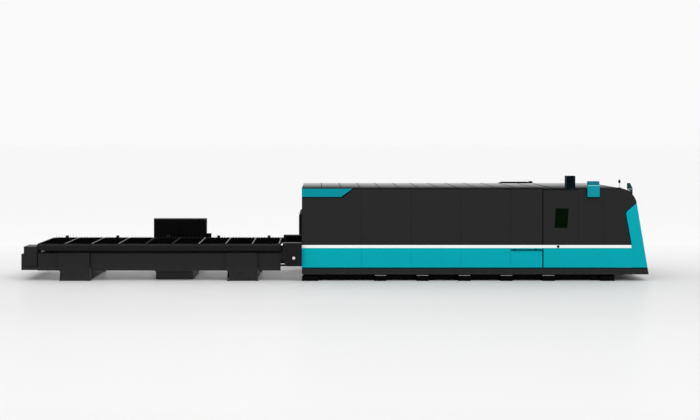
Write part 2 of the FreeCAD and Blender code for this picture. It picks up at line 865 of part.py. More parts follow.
def platform_stops():
    """Sheet stops along the rear edge of the upper platform, one every two bays."""
    stops = []
    for index in range(int(number("(bays + 1) / 2"))):
        stops.append(box(
            "stop_%d" % index, "platform_left + stop_first + %d * bay" % (2 * index),
            "table_mid + core_half - tube_width + slat_end_gap",
            "a_base + tube_height", "stop_length", "stop_depth - tube_width", "stop_height"))
    node("platform_a_stops", group("stops", stops))


def wheelset(letter, mark, shift):
    """A bored wheel on each side of a platform, running on its stub axle."""
    upper = letter == "a"
    gauge = "upper_gauge" if upper else "lower_gauge"
    z = "a_wheel_level" if upper else "b_wheel_level"
    x = "wheel_%s + %s" % (mark, shift)

    def wheel(name, y):
        rim = rod("rim_" + name, x, y, z, "wheel_radius", "wheel_width", "y")
        bore = rod("bore_" + name, x, y, z, "axle_radius + bore_clearance",
                   "wheel_width", "y")
        return cut(name, rim, bore)
    half = "(%s + wheel_width) / 2" % gauge
    pair = both_sides("wheel_%s_%s" % (letter, mark), wheel, half, "wheel_width")
    node("platform_%s_wheels_%s" % (letter, mark),
         group("wheels_%s_%s" % (letter, mark), pair))


# --- Control cabinet ---

def control_cabinet():
    """Upright cabinet behind the table, with a wide frame round two doors."""
    shell = box("cabinet_shell", "cabinet_left", "cabinet_front", 0, "cabinet_length",
                "cabinet_depth", "cabinet_height")
    room = box("cabinet_room", "cabinet_left + cabinet_rim_left",
               "cabinet_front", "cabinet_rim_low", "leaf_space",
               "cabinet_depth - cabinet_wall",
               "cabinet_height - cabinet_rim_low - cabinet_rim_high")
    node("control_cabinet", cut("cabinet", shell, room))
    for side in ("left", "right"):
        cabinet_door(side)
    pins = []
    for side in ("left", "right"):
        x = cabinet_hinge_x(side)
        for end, level in (("low", "cabinet_rim_low + door_gap"),
                           ("high", "cabinet_height - cabinet_rim_high - 2 * door_gap")):
            z = "cabinet_rim_low" if end == "low" else level + " - hinge_length / 2"
            height = "hinge_length / 2 + 2 * door_gap"
            pins.append(rod("cabinet_pin_%s_%s" % (side, end), x,
                            "cabinet_front + pin_set", z, "hinge_pin_radius",
                            height))
    node("cabinet_pins", group("cabinet_hinge_pins", pins))
    duct_left = "cabinet_left + cabinet_length"
    duct_y = "cabinet_front + cabinet_depth / 3"
    pieces = [
        box("duct_stub", duct_left, duct_y, "duct_level", "duct_width", "duct_depth",
            "duct_height"),
        box("duct_drop", duct_left + " + duct_width - duct_height", duct_y,
            "duct_run_level", "duct_height", "duct_depth", "duct_level - duct_run_level"),
        box("duct_run", duct_left + " + duct_width", duct_y, "duct_run_level",
            "cabinet_gap - duct_width", "duct_depth", "duct_depth"),
    ]
    node("cabinet_duct", group("duct", pieces))


def cabinet_hinge_x(side):
    """Where a door's hinge line stands."""
    inset = "door_wall / 2 + door_gap"
    if side == "left":
        return "cabinet_left + cabinet_rim_left + " + inset
    return "cabinet_left + cabinet_length - cabinet_rim_right - (" + inset + ")"


def cabinet_door(side):
    """One leaf with an upright grip beside the meeting edge."""
    left = "cabinet_left + cabinet_rim_left + door_gap"
    grip_x = left + " + cabinet_leaf - 2 * handle_width"
    if side == "right":
        left += " + cabinet_leaf + door_gap"
        grip_x = left + " + handle_width"
    low = "cabinet_rim_low + door_gap"
    tall = "cabinet_height - cabinet_rim_low - cabinet_rim_high - 2 * door_gap"
    leaf = box("leaf_" + side, left, "cabinet_front", low, "cabinet_leaf", "door_wall", tall)
    grip = box("grip_" + side, grip_x, "cabinet_front - handle_depth",
               "handle_level - handle_height / 2", "handle_width", "handle_depth",
               "handle_height")
    hole = rod("leaf_bore_" + side, cabinet_hinge_x(side), "cabinet_front + pin_set", low,
               "hinge_pin_radius + bore_clearance", tall)
    node("cabinet_door_" + side, cut("door_" + side, fuse("door_solid_" + side,
                                                          [leaf, grip]), hole))


# --- Cabin base and frame ---

def bed_base():
    """Low black ladder frame under the cabin, with feet along both sides."""
    start = "cabin_left + panel_wall"
    pieces = []
    beam_in = "base_inset + base_beam_width"
    for side, y in (("front", "front + base_inset"), ("rear", "back - (%s)" % beam_in)):
        pieces.append(box("base_beam_" + side, start, y, 0, "base_run - panel_wall",
                          "base_beam_width", "skirt_bottom"))
        pieces.append(box("base_end_" + side, "cabin_left + base_run", y, "foot_height",
                          "base_end - base_run", "base_beam_width", "cross_height"))
    stub = "base_inset - cross_inset"
    for index, seam in enumerate(["post_width"] + SEAMS):
        x = "cabin_left + %s - cross_width / 2" % seam if index else start
        spans = (("front", "front + cross_inset", stub),
                 ("middle", "front + " + beam_in, "cabin_depth - 2 * (%s)" % beam_in),
                 ("rear", "back - base_inset", stub))
        for part, y, width in spans:
            pieces.append(box("base_cross_%s_%d" % (part, index), x, y, "foot_height",
                              "cross_width", width, "cross_height"))
    node("bed_base", group("base", pieces))
    feet = []
    spots = [("cabin_left", "foot_end_length", "base_inset")]
    for index in range(int(number("foot_count"))):
        x = "cabin_left + foot_first_gap + %d * foot_pitch - foot_length / 2" % index
        spots.append((x, "foot_length", "base_inset"))
    spots.append(("cabin_left + foot_end_start", "foot_end_width",
                  "base_inset + base_beam_width"))
    for index, (x, length, depth) in enumerate(spots):
        feet.append(box("foot_front_%d" % index, x, "front - foot_step_depth", 0, length,
                        depth + " + foot_step_depth", "foot_height"))
        feet.append(box("foot_rear_%d" % index, x, "back - (%s)" % depth, 0, length,
                        depth, "foot_height"))
    node("bed_feet", group("feet", feet))


def post_places():
    """Left edge of every cabin post."""
    places = ["cabin_left + panel_wall"]
    places += ["cabin_left + %s - post_width / 2" % seam for seam in SEAMS]
    return places


def cabin_frame():
    """Upright posts at each seam, and the beams that tie them under the roof."""
    posts = []
    beams = []
    sides = (("front", "panel_back"), ("rear", "rear_panel_front - post_width"))
    beam_z = "roof_bottom - post_width"
    for index, x in enumerate(post_places()):
        for side, y in sides:
            posts.append(box("post_%s_%d" % (side, index), x, y, "skirt_bottom",
                             "post_width", "post_width", beam_z + " - skirt_bottom"))
        beams.append(box("roof_cross_%d" % index, x, "panel_back + post_width", beam_z,
                         "post_width", "cabin_depth - 2 * (panel_wall + post_width)",
                         "post_width"))
    for side, y in sides:
        beams.append(box("roof_beam_" + side, "cabin_left + panel_wall", y, beam_z,
                         "nose_top_end - panel_wall", "post_width", "post_width"))
    node("cabin_posts", group("posts", posts))
    node("cabin_beams", group("beams", beams))


def panel_row(name, y, edges, low, high, skip=()):
    """Flat panels between seams, with a narrow open joint at each."""
    panels = []
    for index in range(len(edges) - 1):
        if index in skip:
            continue
        gaps = ["door_seam_width" if edge == "seam_5" else "seam_width"
                for edge in edges[index:index + 2]]
        start = "cabin_left"
        if index:
            start += " + %s + %s / 2" % (edges[index], gaps[0])
        stop = "cabin_left + %s - %s / 2" % (edges[index + 1], gaps[1])
        panels.append(box("%s_%d" % (name, index), start, y, low, "%s - (%s)" % (stop, start),
                          "panel_wall", "%s - (%s)" % (high, low)))
    return panels


def cabin_panels():
    """Dark upper panels, teal lower panels, the white stripe and the skirt."""
    edges = ["0 * seam_width"] + SEAMS
    low = "stripe_top + seam_width"
    top = "roof_bottom"
    node("front_panels", group("front_upper", panel_row(
        "front_panel", "front", edges, low, top, skip=(5,))))
    node("rear_upper_panels", group("rear_upper", panel_row(
        "rear_panel", "rear_panel_front", edges, low, top)))
    teal_low = "skirt_top + seam_width"
    teal_top = "stripe_bottom"
    lower = panel_row("front_lower", "front", edges[:5], teal_low, teal_top)
    lower.append(box("cover_lintel", "cabin_left + seam_4 + seam_width / 2", "front",
                     "cover_top - seam_width + cover_gap",
                     "seam_5_left - seam_4 - seam_width / 2", "panel_wall",
                     "stripe_bottom - cover_top + seam_width - cover_gap"))
    node("front_lower_panels", group("front_teal", lower))
    node("rear_lower_panels", group("rear_teal", panel_row(
        "rear_lower", "rear_panel_front", edges[:6], teal_low, teal_top)))
    stripes = [slab("stripe_" + side, [
        ("cabin_left", "stripe_bottom"), ("cabin_left + stripe_end", "stripe_bottom"),
        ("cabin_left + stripe_end", "stripe_top"), ("cabin_left", "stripe_top")],
        y, "panel_wall") for side, y in (("front", "front"), ("rear", "rear_panel_front"))]
    keyhole = rod("lock_hole", "lock_x", "front", "lock_level",
                  "lock_radius + bore_clearance", "panel_wall", "y")
    stripes[0] = cut("stripe_bored", stripes[0], keyhole)
    node("cabin_stripe", group("stripes", stripes))
    skirt_end = "cabin_right - nose_lean * %s"
    points = [("cabin_left", "skirt_bottom"), ("cabin_right", "skirt_bottom"),
              (skirt_end % "(skirt_top - skirt_bottom)", "skirt_top"),
              ("cabin_left", "skirt_top")]
    node("cabin_skirt", group("skirts", [
        slab("skirt_" + side, points, y, "panel_wall")
        for side, y in (("front", "front"), ("rear", "rear_panel_front"))]))
    accent_left = "cabin_left + accent_start"
    accent_high = "roof_top - accent_top_gap"
    points = [(accent_left, accent_high + " - accent_height"),
              (accent_left + " + accent_low_length", accent_high + " - accent_height"),
              (accent_left + " + accent_top_length", accent_high),
              (accent_left, accent_high)]
    node("corner_accent", slab("accent", points, "front - accent_wall", "accent_wall"))


def nose():
    """Rounded end: dark and teal side faces, the shell between them and its fin."""
    edge = "cabin_right - nose_lean * (%s - skirt_bottom)"
    knee = ("cabin_left + nose_knee_x", "nose_knee_z")
    tip = ("cabin_left + teal_tip_x - seam_width", "teal_tip_z")
    back_high = ("cabin_left + teal_back_x", "teal_back_high")
    back_low = ("cabin_left + teal_back_x - teal_step_length", "teal_back_low")
    stripe_corner = "cabin_left + stripe_end"
    dark = [("cabin_left + seam_7 + seam_width / 2", "stripe_top + seam_width"),
            (stripe_corner + " - seam_width", "stripe_top + seam_width"),
            back_low, back_high, tip, knee,
            ("cabin_left + nose_top_end", "roof_top"),
            ("cabin_left + nose_top_end", "roof_bottom"),
            ("cabin_left + seam_7 + seam_width / 2", "roof_bottom")]
    teal = [("cabin_left + seam_5_right", "skirt_top + seam_width"),
            (edge % "(skirt_top + seam_width)", "skirt_top + seam_width"),
            (edge % "(teal_tip_z - seam_width)", "teal_tip_z - seam_width"),
            ("cabin_left + teal_back_x + seam_width", "teal_back_high - seam_width"),
            ("cabin_left + teal_back_x + seam_width - teal_step_length", "teal_back_low"),
            (stripe_corner + " + seam_width", "stripe_top"),
            (stripe_corner + " + seam_width", "stripe_bottom - seam_width"),
            ("cabin_left + seam_5_right", "stripe_bottom - seam_width")]
    sides = (("front", "front"), ("rear", "rear_panel_front"))
    node("nose_side_panels", group("nose_dark", [
        slab("nose_dark_" + side, dark, y, "panel_wall", arcs=((5, "nose_radius"),))
        for side, y in sides]))
    node("nose_lower_panels", group("nose_teal", [
        slab("nose_teal_" + side, teal, y, "panel_wall") for side, y in sides]))
    shell = [("cabin_right - shell_wall", "skirt_bottom"),
             ("cabin_right", "skirt_bottom"), knee,
             ("cabin_left + nose_top_end", "roof_top"),
             ("cabin_left + nose_top_end", "roof_top - shell_wall"),
             ("cabin_left + nose_knee_x - shell_wall", "nose_knee_z")]
    skin = slab("nose_skin", shell, "panel_back", "cabin_depth - 2 * panel_wall",
                arcs=((2, "nose_radius"), (4, "-nose_radius - shell_wall")))
    fin_left = "cabin_left + fin_start"
    fin = [(fin_left, "fin_base"),
           (fin_left + " + fin_length", "fin_base"),
           (fin_left + " + fin_length", "fin_top - 2.2 * fin_round_length"),
           (fin_left + " + fin_round_length", "fin_top"),
           (fin_left, "fin_top")]
    ridge = slab("nose_fin", fin, "front + fin_inset", "fin_depth")
    node("nose_shell", fuse("nose", [skin, ridge]))


def roof():
    """Roof sheets with pressed joints, the low duct at the rear edge and its box."""
    top = "roof_top - roof_wall"
    long_sheet = box("roof_long", "cabin_left", "front", top, "seam_5_left",
                     "cabin_depth", "roof_wall")
    short_sheet = box("roof_short", "cabin_left + seam_5_right", "front", top,
                      "nose_top_end - (seam_5_right)", "cabin_depth", "roof_wall")
    joints = []
    for index in range(1, int(number("seam_5 / roof_seam_pitch")) + 1):
        joints.append(box("roof_joint_%d" % index,
                          "cabin_left + %d * roof_seam_pitch" % index, "front",
                          "roof_top - roof_seam_depth", "seam_width", "cabin_depth",
                          "roof_seam_depth"))
    pressed = cut("roof_pressed", long_sheet, group("roof_joints", joints))
    node("roof_panels", group("roof_sheets", [pressed, short_sheet]))
    left = "cabin_left + roof_duct_start"
    points = [(left, "roof_top"),
              (left + " + roof_duct_length", "roof_top"),
              (left + " + roof_duct_length", "roof_top + roof_duct_height"),
              (left + " + roof_duct_point_length", "roof_top + roof_duct_height")]
    lid = slab("roof_duct_body", points, "back - roof_duct_depth", "roof_duct_depth")
    bridge = box("roof_bridge", left + " + roof_duct_length", "back - roof_duct_depth / 2",
                 "roof_top", "roof_box_gap", "roof_duct_depth / 2", "roof_duct_height / 2")
    case = box("roof_box", left + " + roof_duct_length + roof_box_gap",
               "back - roof_duct_depth", "roof_top", "roof_box_length",
               "roof_duct_depth", "roof_box_height")
    node("roof_duct", fuse("roof_ducting", [lid, bridge, case]))


def roof_fittings():
    """Extraction stack, side hood and signal beacon."""
    x = "cabin_left + stack_start"
    y = "front + stack_setback"
    outer = box("stack_outer", x, y, "roof_top", "stack_length", "stack_depth",
                "stack_height")
    inner = box("stack_inner", x + " + stack_wall", y + " + stack_wall", "roof_top",
                "stack_length - 2 * stack_wall", "stack_depth - 2 * stack_wall",
                "stack_height - stack_wall")
    outlet = rod("stack_outlet", x + " + stack_length / 2", y + " + stack_depth / 2",
                 "roof_top", "stack_bore", "stack_height")
    node("extraction_stack", cut("stack", cut("stack_shell", outer, inner), outlet))
    hood_points = [("front - hood_depth", "hood_bottom"),
                   ("front", "hood_bottom"),
                   ("front", "roof_top"),
                   ("front + hood_back_depth", "roof_top"),
                   ("front + hood_back_depth", "hood_top"),
                   ("front - hood_depth + hood_slope_depth", "hood_top"),
                   ("front - hood_depth", "hood_face_top")]
    node("side_hood", slab("hood", hood_points, "cabin_left + hood_start", "hood_length",
                           "YZ_Plane"))
    x = "cabin_left + beacon_start"
    y = "front + beacon_setback"
    node("beacon_pole", rod("pole", x, y, "roof_top", "beacon_pole_radius",
                            "beacon_pole_height"))
    node("beacon_lamp", rod("lamp", x, y, "roof_top + beacon_pole_height",
                            "beacon_radius", "beacon_height"))


def portal():
    """End wall round the way in, the door pocket on it and the lift door."""
    wall_left = "cabin_left"
    low = "skirt_bottom"
    near = "table_mid - portal_half"
    far = "table_mid + portal_half"
    pieces = [
        box("jamb_front", wall_left, "panel_back", low, "panel_wall",
            near + " - (panel_back)", "roof_bottom - skirt_bottom"),
        box("jamb_rear", wall_left, far, low, "panel_wall",
            "rear_panel_front - (%s)" % far, "roof_bottom - skirt_bottom"),
        box("portal_head", wall_left, near, "portal_top", "panel_wall", "portal_width",
            "roof_bottom - portal_top"),
        box("portal_sill", wall_left, near, low, "panel_wall", "portal_width",
            "portal_bottom - skirt_bottom"),
    ]
    node("portal_wall", group("portal", pieces))
    reach = "cabin_left - pocket_depth"
    span = "2 * entry_half"
    side_low = "table_mid - entry_half"
    plate_z = "portal_top - seam_width"
    fold = "pocket_top - pocket_chamfer_length"
    turn = reach + " + pocket_chamfer_length"
    strips = (
        ("face", [(reach, plate_z), (reach + " + pocket_wall", plate_z),
                  (reach + " + pocket_wall", fold + " - pocket_wall"), (reach, fold)]),
        ("slope", [(reach, fold), (reach + " + pocket_wall", fold + " - pocket_wall"),
                   (turn + " + pocket_wall", "pocket_top - pocket_wall"),
                   (turn, "pocket_top")]),
        ("lid", [(turn, "pocket_top"), (turn + " + pocket_wall", "pocket_top - pocket_wall"),
                 ("cabin_left", "pocket_top - pocket_wall"), ("cabin_left", "pocket_top")]),
    )
    shells = [slab("pocket_" + strip, corners, side_low + " - pocket_side_width",
                   span + " + 2 * pocket_side_width") for strip, corners in strips]
    for side, y in (("front", side_low + " - pocket_side_width"), ("rear", "table_mid + entry_half")):
        shells.append(box("pocket_side_" + side, reach + " + pocket_wall", y, plate_z,
                          "pocket_depth - pocket_wall", "pocket_side_width",
                          fold + " - pocket_wall - (%s)" % plate_z))
        guide_y = "table_mid - entry_half"
        if side == "rear":
            guide_y = "table_mid + entry_half - guide_width"
        depth = "(pocket_depth - leaf_wall) / 2 - slide_gap"
        shells.append(box("guide_" + side, "cabin_left - (%s)" % depth, guide_y,
                          "guide_bottom", depth, "guide_width",
                          fold + " - pocket_wall - guide_bottom"))
    node("door_pocket", group("pocket", shells))
    node("entry_door", box(
        "door_leaf", "cabin_left - (pocket_depth + leaf_wall) / 2",
        "table_mid - entry_half + leaf_side_gap", "portal_top", "leaf_wall",
        "2 * (entry_half - leaf_side_gap)", "leaf_height"))


# --- Flap, cover and lock ---

def hinge_fixed(tag, centre, z, height):
    """Fixed half of a lift-off hinge: a leaf above the line, its knuckle and the pin."""
    start = "%s - hinge_length" % centre
    half = "hinge_length - seam_width / 2"
    leaf = box("leaf_fixed_" + tag, start, "front - hinge_leaf_wall", z, half, "hinge_leaf_wall",
               height)
    knuckle = rod("knuckle_" + tag, start, "front - hinge_radius", z, "hinge_radius", half,
                  "x")
    pin = rod("pin_" + tag, start, "front - hinge_radius", z, "hinge_pin_radius",
              "2 * hinge_length", "x")
    return fuse("hinge_" + tag, [leaf, knuckle, pin])


def hinge_moving(tag, centre, z):
    """Moving half, welded to the panel: a leaf below the line and a bored knuckle."""
    start = "%s + seam_width / 2" % centre
    half = "hinge_length - seam_width / 2"
    leaf = box("leaf_moving_" + tag, start, "front - hinge_leaf_wall",
               z + " - hinge_leaf_height", half, "hinge_leaf_wall", "hinge_leaf_height")
    barrel = rod("barrel_" + tag, start, "front - hinge_radius", z, "hinge_radius", half,
                 "x")
    bore = rod("barrel_bore_" + tag, start, "front - hinge_radius", z,
               "hinge_pin_radius + bore_clearance", half, "x")
    return leaf, barrel, bore


def hinged_panels():
    """Service flap with its slanted window, and the access cover below."""
    flap_left = "cabin_left + seam_5_right"
    flap_wide = "seam_6 - seam_width / 2 - (seam_5_right)"
    cover_left = "cabin_left + seam_4 + seam_width / 2"
    cover_wide = "seam_5_left - seam_4 - seam_width / 2"
    flap = box("flap_plate", flap_left, "front", "stripe_top + seam_width", flap_wide,
               "panel_wall", "flap_top - seam_width - (stripe_top + seam_width)")
    sill = "window_level"
    head = sill + " + window_height"
    lean = "window_left + window_lean_length"
    glass = [("window_left", sill), ("window_left + window_length", sill),
             (lean + " + window_length", head), (lean, head)]
    opening = slab("window_opening", glass, "front", "panel_wall")
    node("flap_window", slab("glass", glass, "front + glass_set", "glass_wall"))
    cover = box("cover_plate", cover_left, "front", "skirt_top + seam_width", cover_wide,
                "panel_wall", "cover_top - seam_width - (skirt_top + seam_width)")
    fixed = []
    parts = {"flap": [flap], "cover": [cover]}
    bores = {"flap": [opening], "cover": []}
    ends = {"flap": (flap_left, flap_wide, "flap_top", "roof_top - (flap_top)"),
            "cover": (cover_left, cover_wide, "cover_top", "cover_gap + hinge_rise")}
    for panel, (left, wide, z, height) in ends.items():
        for side, centre in (("near", "%s + hinge_inset" % left),
                             ("far", "%s + %s - hinge_inset" % (left, wide))):
            tag = panel + "_" + side
            fixed.append(hinge_fixed(tag, centre, z, height))
            leaf, barrel, bore = hinge_moving(tag, centre, z)
            parts[panel] += [leaf, barrel]
            bores[panel].append(bore)
    node("panel_hinges", group("fixed_hinges", fixed))
    for panel, name in (("flap", "service_flap"), ("cover", "access_cover")):
        whole = fuse(panel + "_solid", parts[panel])
        node(name, cut(panel + "_cut", whole, group(panel + "_bores", bores[panel])))


def flap_lock():
    """Quarter-turn latch in the stripe, with a tongue behind the flap."""
    stem_back = "panel_wall + slide_gap"
    barrel = rod("lock_barrel", "lock_x", "front - lock_depth", "lock_level",
                 "lock_radius", "lock_depth + %s + tongue_wall" % stem_back, "y")
    tongue = box("lock_tongue", "lock_x - tongue_width / 2", "front + " + stem_back,
                 "lock_level", "tongue_width", "tongue_wall", "tongue_length")
    node("flap_lock", fuse("latch", [barrel, tongue]))


# --- Gantry and laser ---

def gantry():
    """Rear column with guide rails, the cantilever arm, its carriage and the head."""
    x = "cabin_left + column_start"
    node("gantry_column", box("column", x, "column_front", "skirt_bottom",
                              "column_length", "column_depth",
                              "column_top - skirt_bottom"))
    spots = (("near", "column_front + guide_rail_inset"),
             ("far", "column_front + column_depth - guide_rail_inset - guide_rail_width"))
    node("gantry_rails", group("guide_rails", [
        box("guide_rail_" + side, x, y, "column_top", "column_length",
            "guide_rail_width", "guide_rail_height") for side, y in spots]))
    saddle = box("saddle", "park - saddle_length / 2", "column_front - saddle_overhang",
                 "rail_top + slide_gap", "saddle_length",
                 "column_depth + 2 * saddle_overhang", "saddle_height")
    root = "column_front + column_depth + saddle_overhang"
    arm_top = "arm_bottom + arm_root_height"
    profile = [("arm_tip", "arm_bottom + arm_tip_rise"),
               ("column_front - saddle_overhang", "arm_bottom"),
               (root, "arm_bottom"), (root, arm_top), ("arm_tip", arm_top)]
    arm = slab("arm", profile, "arm_face", "arm_width", "YZ_Plane")
    guides = [box("arm_rail_%d" % index, "arm_face - arm_rail_width", "arm_tip",
                  "%s - %s" % (arm_top, drop), "arm_rail_width",
                  "column_front + column_depth - (arm_tip)", "arm_rail_width")
              for index, drop in enumerate(("2 * arm_rail_width", "carriage_height"))]
    node("gantry_beam", group("cantilever", [saddle, arm] + guides))
    node("head_carriage", box(
        "carriage", "carriage_face", "carriage_mid - carriage_length / 2",
        arm_top + " - carriage_height - arm_rail_width", "carriage_wall", "carriage_length",
        "carriage_height + arm_rail_width"))
    slide_x = "carriage_face - slide_gap - head_slide_wall"
    slide = box("head_slide", slide_x, "carriage_mid - head_slide_width / 2",
                "head_bottom", "head_slide_wall", "head_slide_width",
                "head_slide_height")
    axis_x = slide_x + " - head_radius"
    barrel = box("head_body", slide_x + " - 2 * head_radius", "carriage_mid - head_radius",
                 "head_bottom", "2 * head_radius", "2 * head_radius",
                 "head_slide_height - head_step_height")
    tip_cone = doc.addObject("Part::Cone", "nozzle")
    bind(tip_cone, x=axis_x, y="carriage_mid", z="nozzle_tip", Radius1="nozzle_radius",
         Radius2="head_radius", Height="head_bottom - nozzle_tip")
    node("cutting_head", fuse("head", [slide, barrel, tip_cone]))
    node("laser_source", box(
        "laser_cabinet", "cabin_left + seam_6 + laser_gap", "table_mid + laser_offset",
        "skirt_bottom", "laser_length", "laser_depth", "laser_height"))


def check():
    """Stop if any object failed or any sub-part isn't a sound shape."""
    for thing in doc.Objects:
        if {"Invalid", "Error"} & set(thing.State):
            raise RuntimeError("%s: %s" % (thing.Name, thing.State))
    for thing in nodes:
        if thing.Shape.isNull() or not thing.Shape.isValid() or not thing.Shape.Solids:
            raise RuntimeError("bad shape: " + thing.Label)
        print("%-24s solids %3d" % (thing.Label, len(thing.Shape.Solids)))


def export():
    """Write each sub-part to its own STEP file."""
    os.makedirs("parts", exist_ok=True)
    for thing in nodes:
        thing.Shape.exportStep("parts/%s.step" % thing.Label)


def build():
    """Build every sub-part in order."""
    fill_sheet()
    table_side_beams()
    bed_side_beams()
    rails()
    end_beam()
    drive()
    legs()
    entry_frames()
    for letter, base, shift in (("a", "a_base", "0 * travel"), ("b", "b_base", "travel")):
        platform_frame(letter, base, shift)
        platform_slats(letter, base, shift)
        for mark in ("1", "2"):
            wheelset(letter, mark, shift)
    platform_stops()
    control_cabinet()
    bed_base()
    cabin_frame()
    cabin_panels()
    nose()
    roof()
    roof_fittings()
    portal()
    hinged_panels()
    flap_lock()
    gantry()
    doc.recompute()
    check()
    export()


build()
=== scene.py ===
"""Looks for a fiber laser cutting machine with a closed cabin and an exchange table.

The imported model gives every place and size.  This script adds the finishes, the fine
pieces that the solids leave out, and a plain studio seen from the photograph's angle.
"""
import logging
import math
from dataclasses import dataclass
from enum import Enum

import bmesh
import bpy
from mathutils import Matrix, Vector


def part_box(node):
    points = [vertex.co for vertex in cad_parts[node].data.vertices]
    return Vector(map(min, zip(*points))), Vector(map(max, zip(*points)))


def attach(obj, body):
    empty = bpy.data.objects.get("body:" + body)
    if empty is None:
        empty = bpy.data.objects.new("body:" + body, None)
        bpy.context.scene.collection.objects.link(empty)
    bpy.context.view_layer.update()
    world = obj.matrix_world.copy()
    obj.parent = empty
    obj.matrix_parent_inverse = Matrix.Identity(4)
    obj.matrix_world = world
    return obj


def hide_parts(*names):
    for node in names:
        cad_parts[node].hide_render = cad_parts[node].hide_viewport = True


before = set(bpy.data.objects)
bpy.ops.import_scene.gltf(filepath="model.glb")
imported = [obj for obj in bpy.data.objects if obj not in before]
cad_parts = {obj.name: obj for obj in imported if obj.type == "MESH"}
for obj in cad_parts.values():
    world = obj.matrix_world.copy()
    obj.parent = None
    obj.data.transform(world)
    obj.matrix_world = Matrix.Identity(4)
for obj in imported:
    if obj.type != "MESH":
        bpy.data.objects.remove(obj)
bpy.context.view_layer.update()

LOG = logging.getLogger("scene")
Point = tuple[float, float, float]
Flat = tuple[float, float]
Colour = tuple[float, float, float]


class Axis(Enum):
    """A direction of the row frame, by its place in a point."""
    X = 0
    Y = 1
    Z = 2


# --- Finishes ---

def shade(colour: Colour, share: float) -> Colour:
    """Make a colour darker or paler by a share."""
    return tuple(level * share for level in colour)


class Desk:
    """A material's node tree, with short ways to add and join nodes."""

    def __init__(self, name: str) -> None:
        """Start a material that holds one surface shader.

        Args:
            name: the material's name.
        """
        self.material = bpy.data.materials.new(name)
        self.material.use_nodes = True
        self.tree = self.material.node_tree
        self.tree.nodes.clear()
        self.out = self.tree.nodes.new("ShaderNodeOutputMaterial")
        self.shader = self.tree.nodes.new("ShaderNodeBsdfPrincipled")
        self.link(self.shader.outputs[0], self.out.inputs["Surface"])
        self.place = self.tree.nodes.new("ShaderNodeTexCoord").outputs["Object"]

    def link(self, source: bpy.types.NodeSocket, target: bpy.types.NodeSocket) -> None:
        """Join two sockets."""
        self.tree.links.new(source, target)

    def stretched(self, scale: Point) -> bpy.types.NodeSocket:
        """Scale the place along each axis.

        Args:
            scale: factors along X, Y and Z.

        Returns:
            The scaled place.
        """
        mapping = self.tree.nodes.new("ShaderNodeMapping")
        mapping.inputs["Scale"].default_value = scale
        self.link(self.place, mapping.inputs["Vector"])
        return mapping.outputs["Vector"]

    def noise(self, scale: float, detail: float = 3.0,
              stretch: Point = (1, 1, 1)) -> bpy.types.NodeSocket:
        """Add a noise pattern.

        Args:
            scale: how many features lie in a metre.
            detail: octaves of finer noise.
            stretch: factors along the axes, to draw the pattern out.

        Returns:
            The pattern, around 0.5.
        """
        node = self.tree.nodes.new("ShaderNodeTexNoise")
        node.inputs["Scale"].default_value = scale
        node.inputs["Detail"].default_value = detail
        self.link(self.stretched(stretch), node.inputs["Vector"])
        return node.outputs["Fac"]

    def spread(self, source: bpy.types.NodeSocket, low: float, high: float,
               first: float = 0.3, last: float = 0.7) -> bpy.types.NodeSocket:
        """Map a pattern onto a range of values.

        Args:
            source: the pattern.
            low: the value at or under first.
            high: the value at or over last.
            first: where the pattern's range starts.
            last: where the pattern's range ends.

        Returns:
            The mapped values.
        """
        node = self.tree.nodes.new("ShaderNodeMapRange")
        node.inputs["From Min"].default_value = first
        node.inputs["From Max"].default_value = last
        node.inputs["To Min"].default_value = low
        node.inputs["To Max"].default_value = high
        self.link(source, node.inputs["Value"])
        return node.outputs["Result"]

    def blend(self, share: bpy.types.NodeSocket, first: Colour | bpy.types.NodeSocket,
              second: Colour | bpy.types.NodeSocket) -> bpy.types.NodeSocket:
        """Mix two colours.

        Args:
            share: how much of the second shows.
            first: a colour or a colour socket.
            second: a colour or a colour socket.

        Returns:
            The mixed colour.
        """
        node = self.tree.nodes.new("ShaderNodeMix")
        node.data_type = "RGBA"
        sockets = [s for s in node.inputs if s.type == "RGBA"]
        self.link(share, node.inputs["Factor"])
        for socket, value in zip(sockets, (first, second)):
            if isinstance(value, bpy.types.NodeSocket):
                self.link(value, socket)
            else:
                socket.default_value = (*value, 1.0)
        return [s for s in node.outputs if s.type == "RGBA"][0]

    def along(self, axis: Axis) -> bpy.types.NodeSocket:
        """Read the place along one axis.

        Args:
            axis: which one, where Z gives the height above the floor.

        Returns:
            The place in metres.
        """
        node = self.tree.nodes.new("ShaderNodeSeparateXYZ")
        self.link(self.place, node.inputs["Vector"])
        return node.outputs[axis.name]

    def times(self, first: bpy.types.NodeSocket,
              second: bpy.types.NodeSocket) -> bpy.types.NodeSocket:
        """Multiply two values.

        Args:
            first: one value.
            second: the other value.

        Returns:
            Their product.
        """
        node = self.tree.nodes.new("ShaderNodeMath")
        node.operation = "MULTIPLY"
        self.link(first, node.inputs[0])
        self.link(second, node.inputs[1])
        return node.outputs["Value"]

    def bump(self, source: bpy.types.NodeSocket, strength: float, depth: float) -> None:
        """Raise the surface by a pattern.

        Args:
            source: the pattern.
            strength: how strongly it shows.
            depth: the height of a full step, in metres.
        """
        node = self.tree.nodes.new("ShaderNodeBump")
        node.inputs["Strength"].default_value = strength
        node.inputs["Distance"].default_value = depth
        self.link(source, node.inputs["Height"])
        self.link(node.outputs["Normal"], self.shader.inputs["Normal"])

    def surface(self, colour: bpy.types.NodeSocket, rough: bpy.types.NodeSocket,
                gloss: float = 0.5, metallic: float = 0.0) -> None:
        """Give the surface its colour and its shine.

        Args:
            colour: the colour.
            rough: how dull its reflections are.
            gloss: how strong the reflections on paint or plastic are.
            metallic: 1 for bare metal, 0 for paint or plastic.
        """
        self.link(colour, self.shader.inputs["Base Color"])
        self.link(rough, self.shader.inputs["Roughness"])
        self.shader.inputs["Specular IOR Level"].default_value = gloss
        self.shader.inputs["Metallic"].default_value = metallic


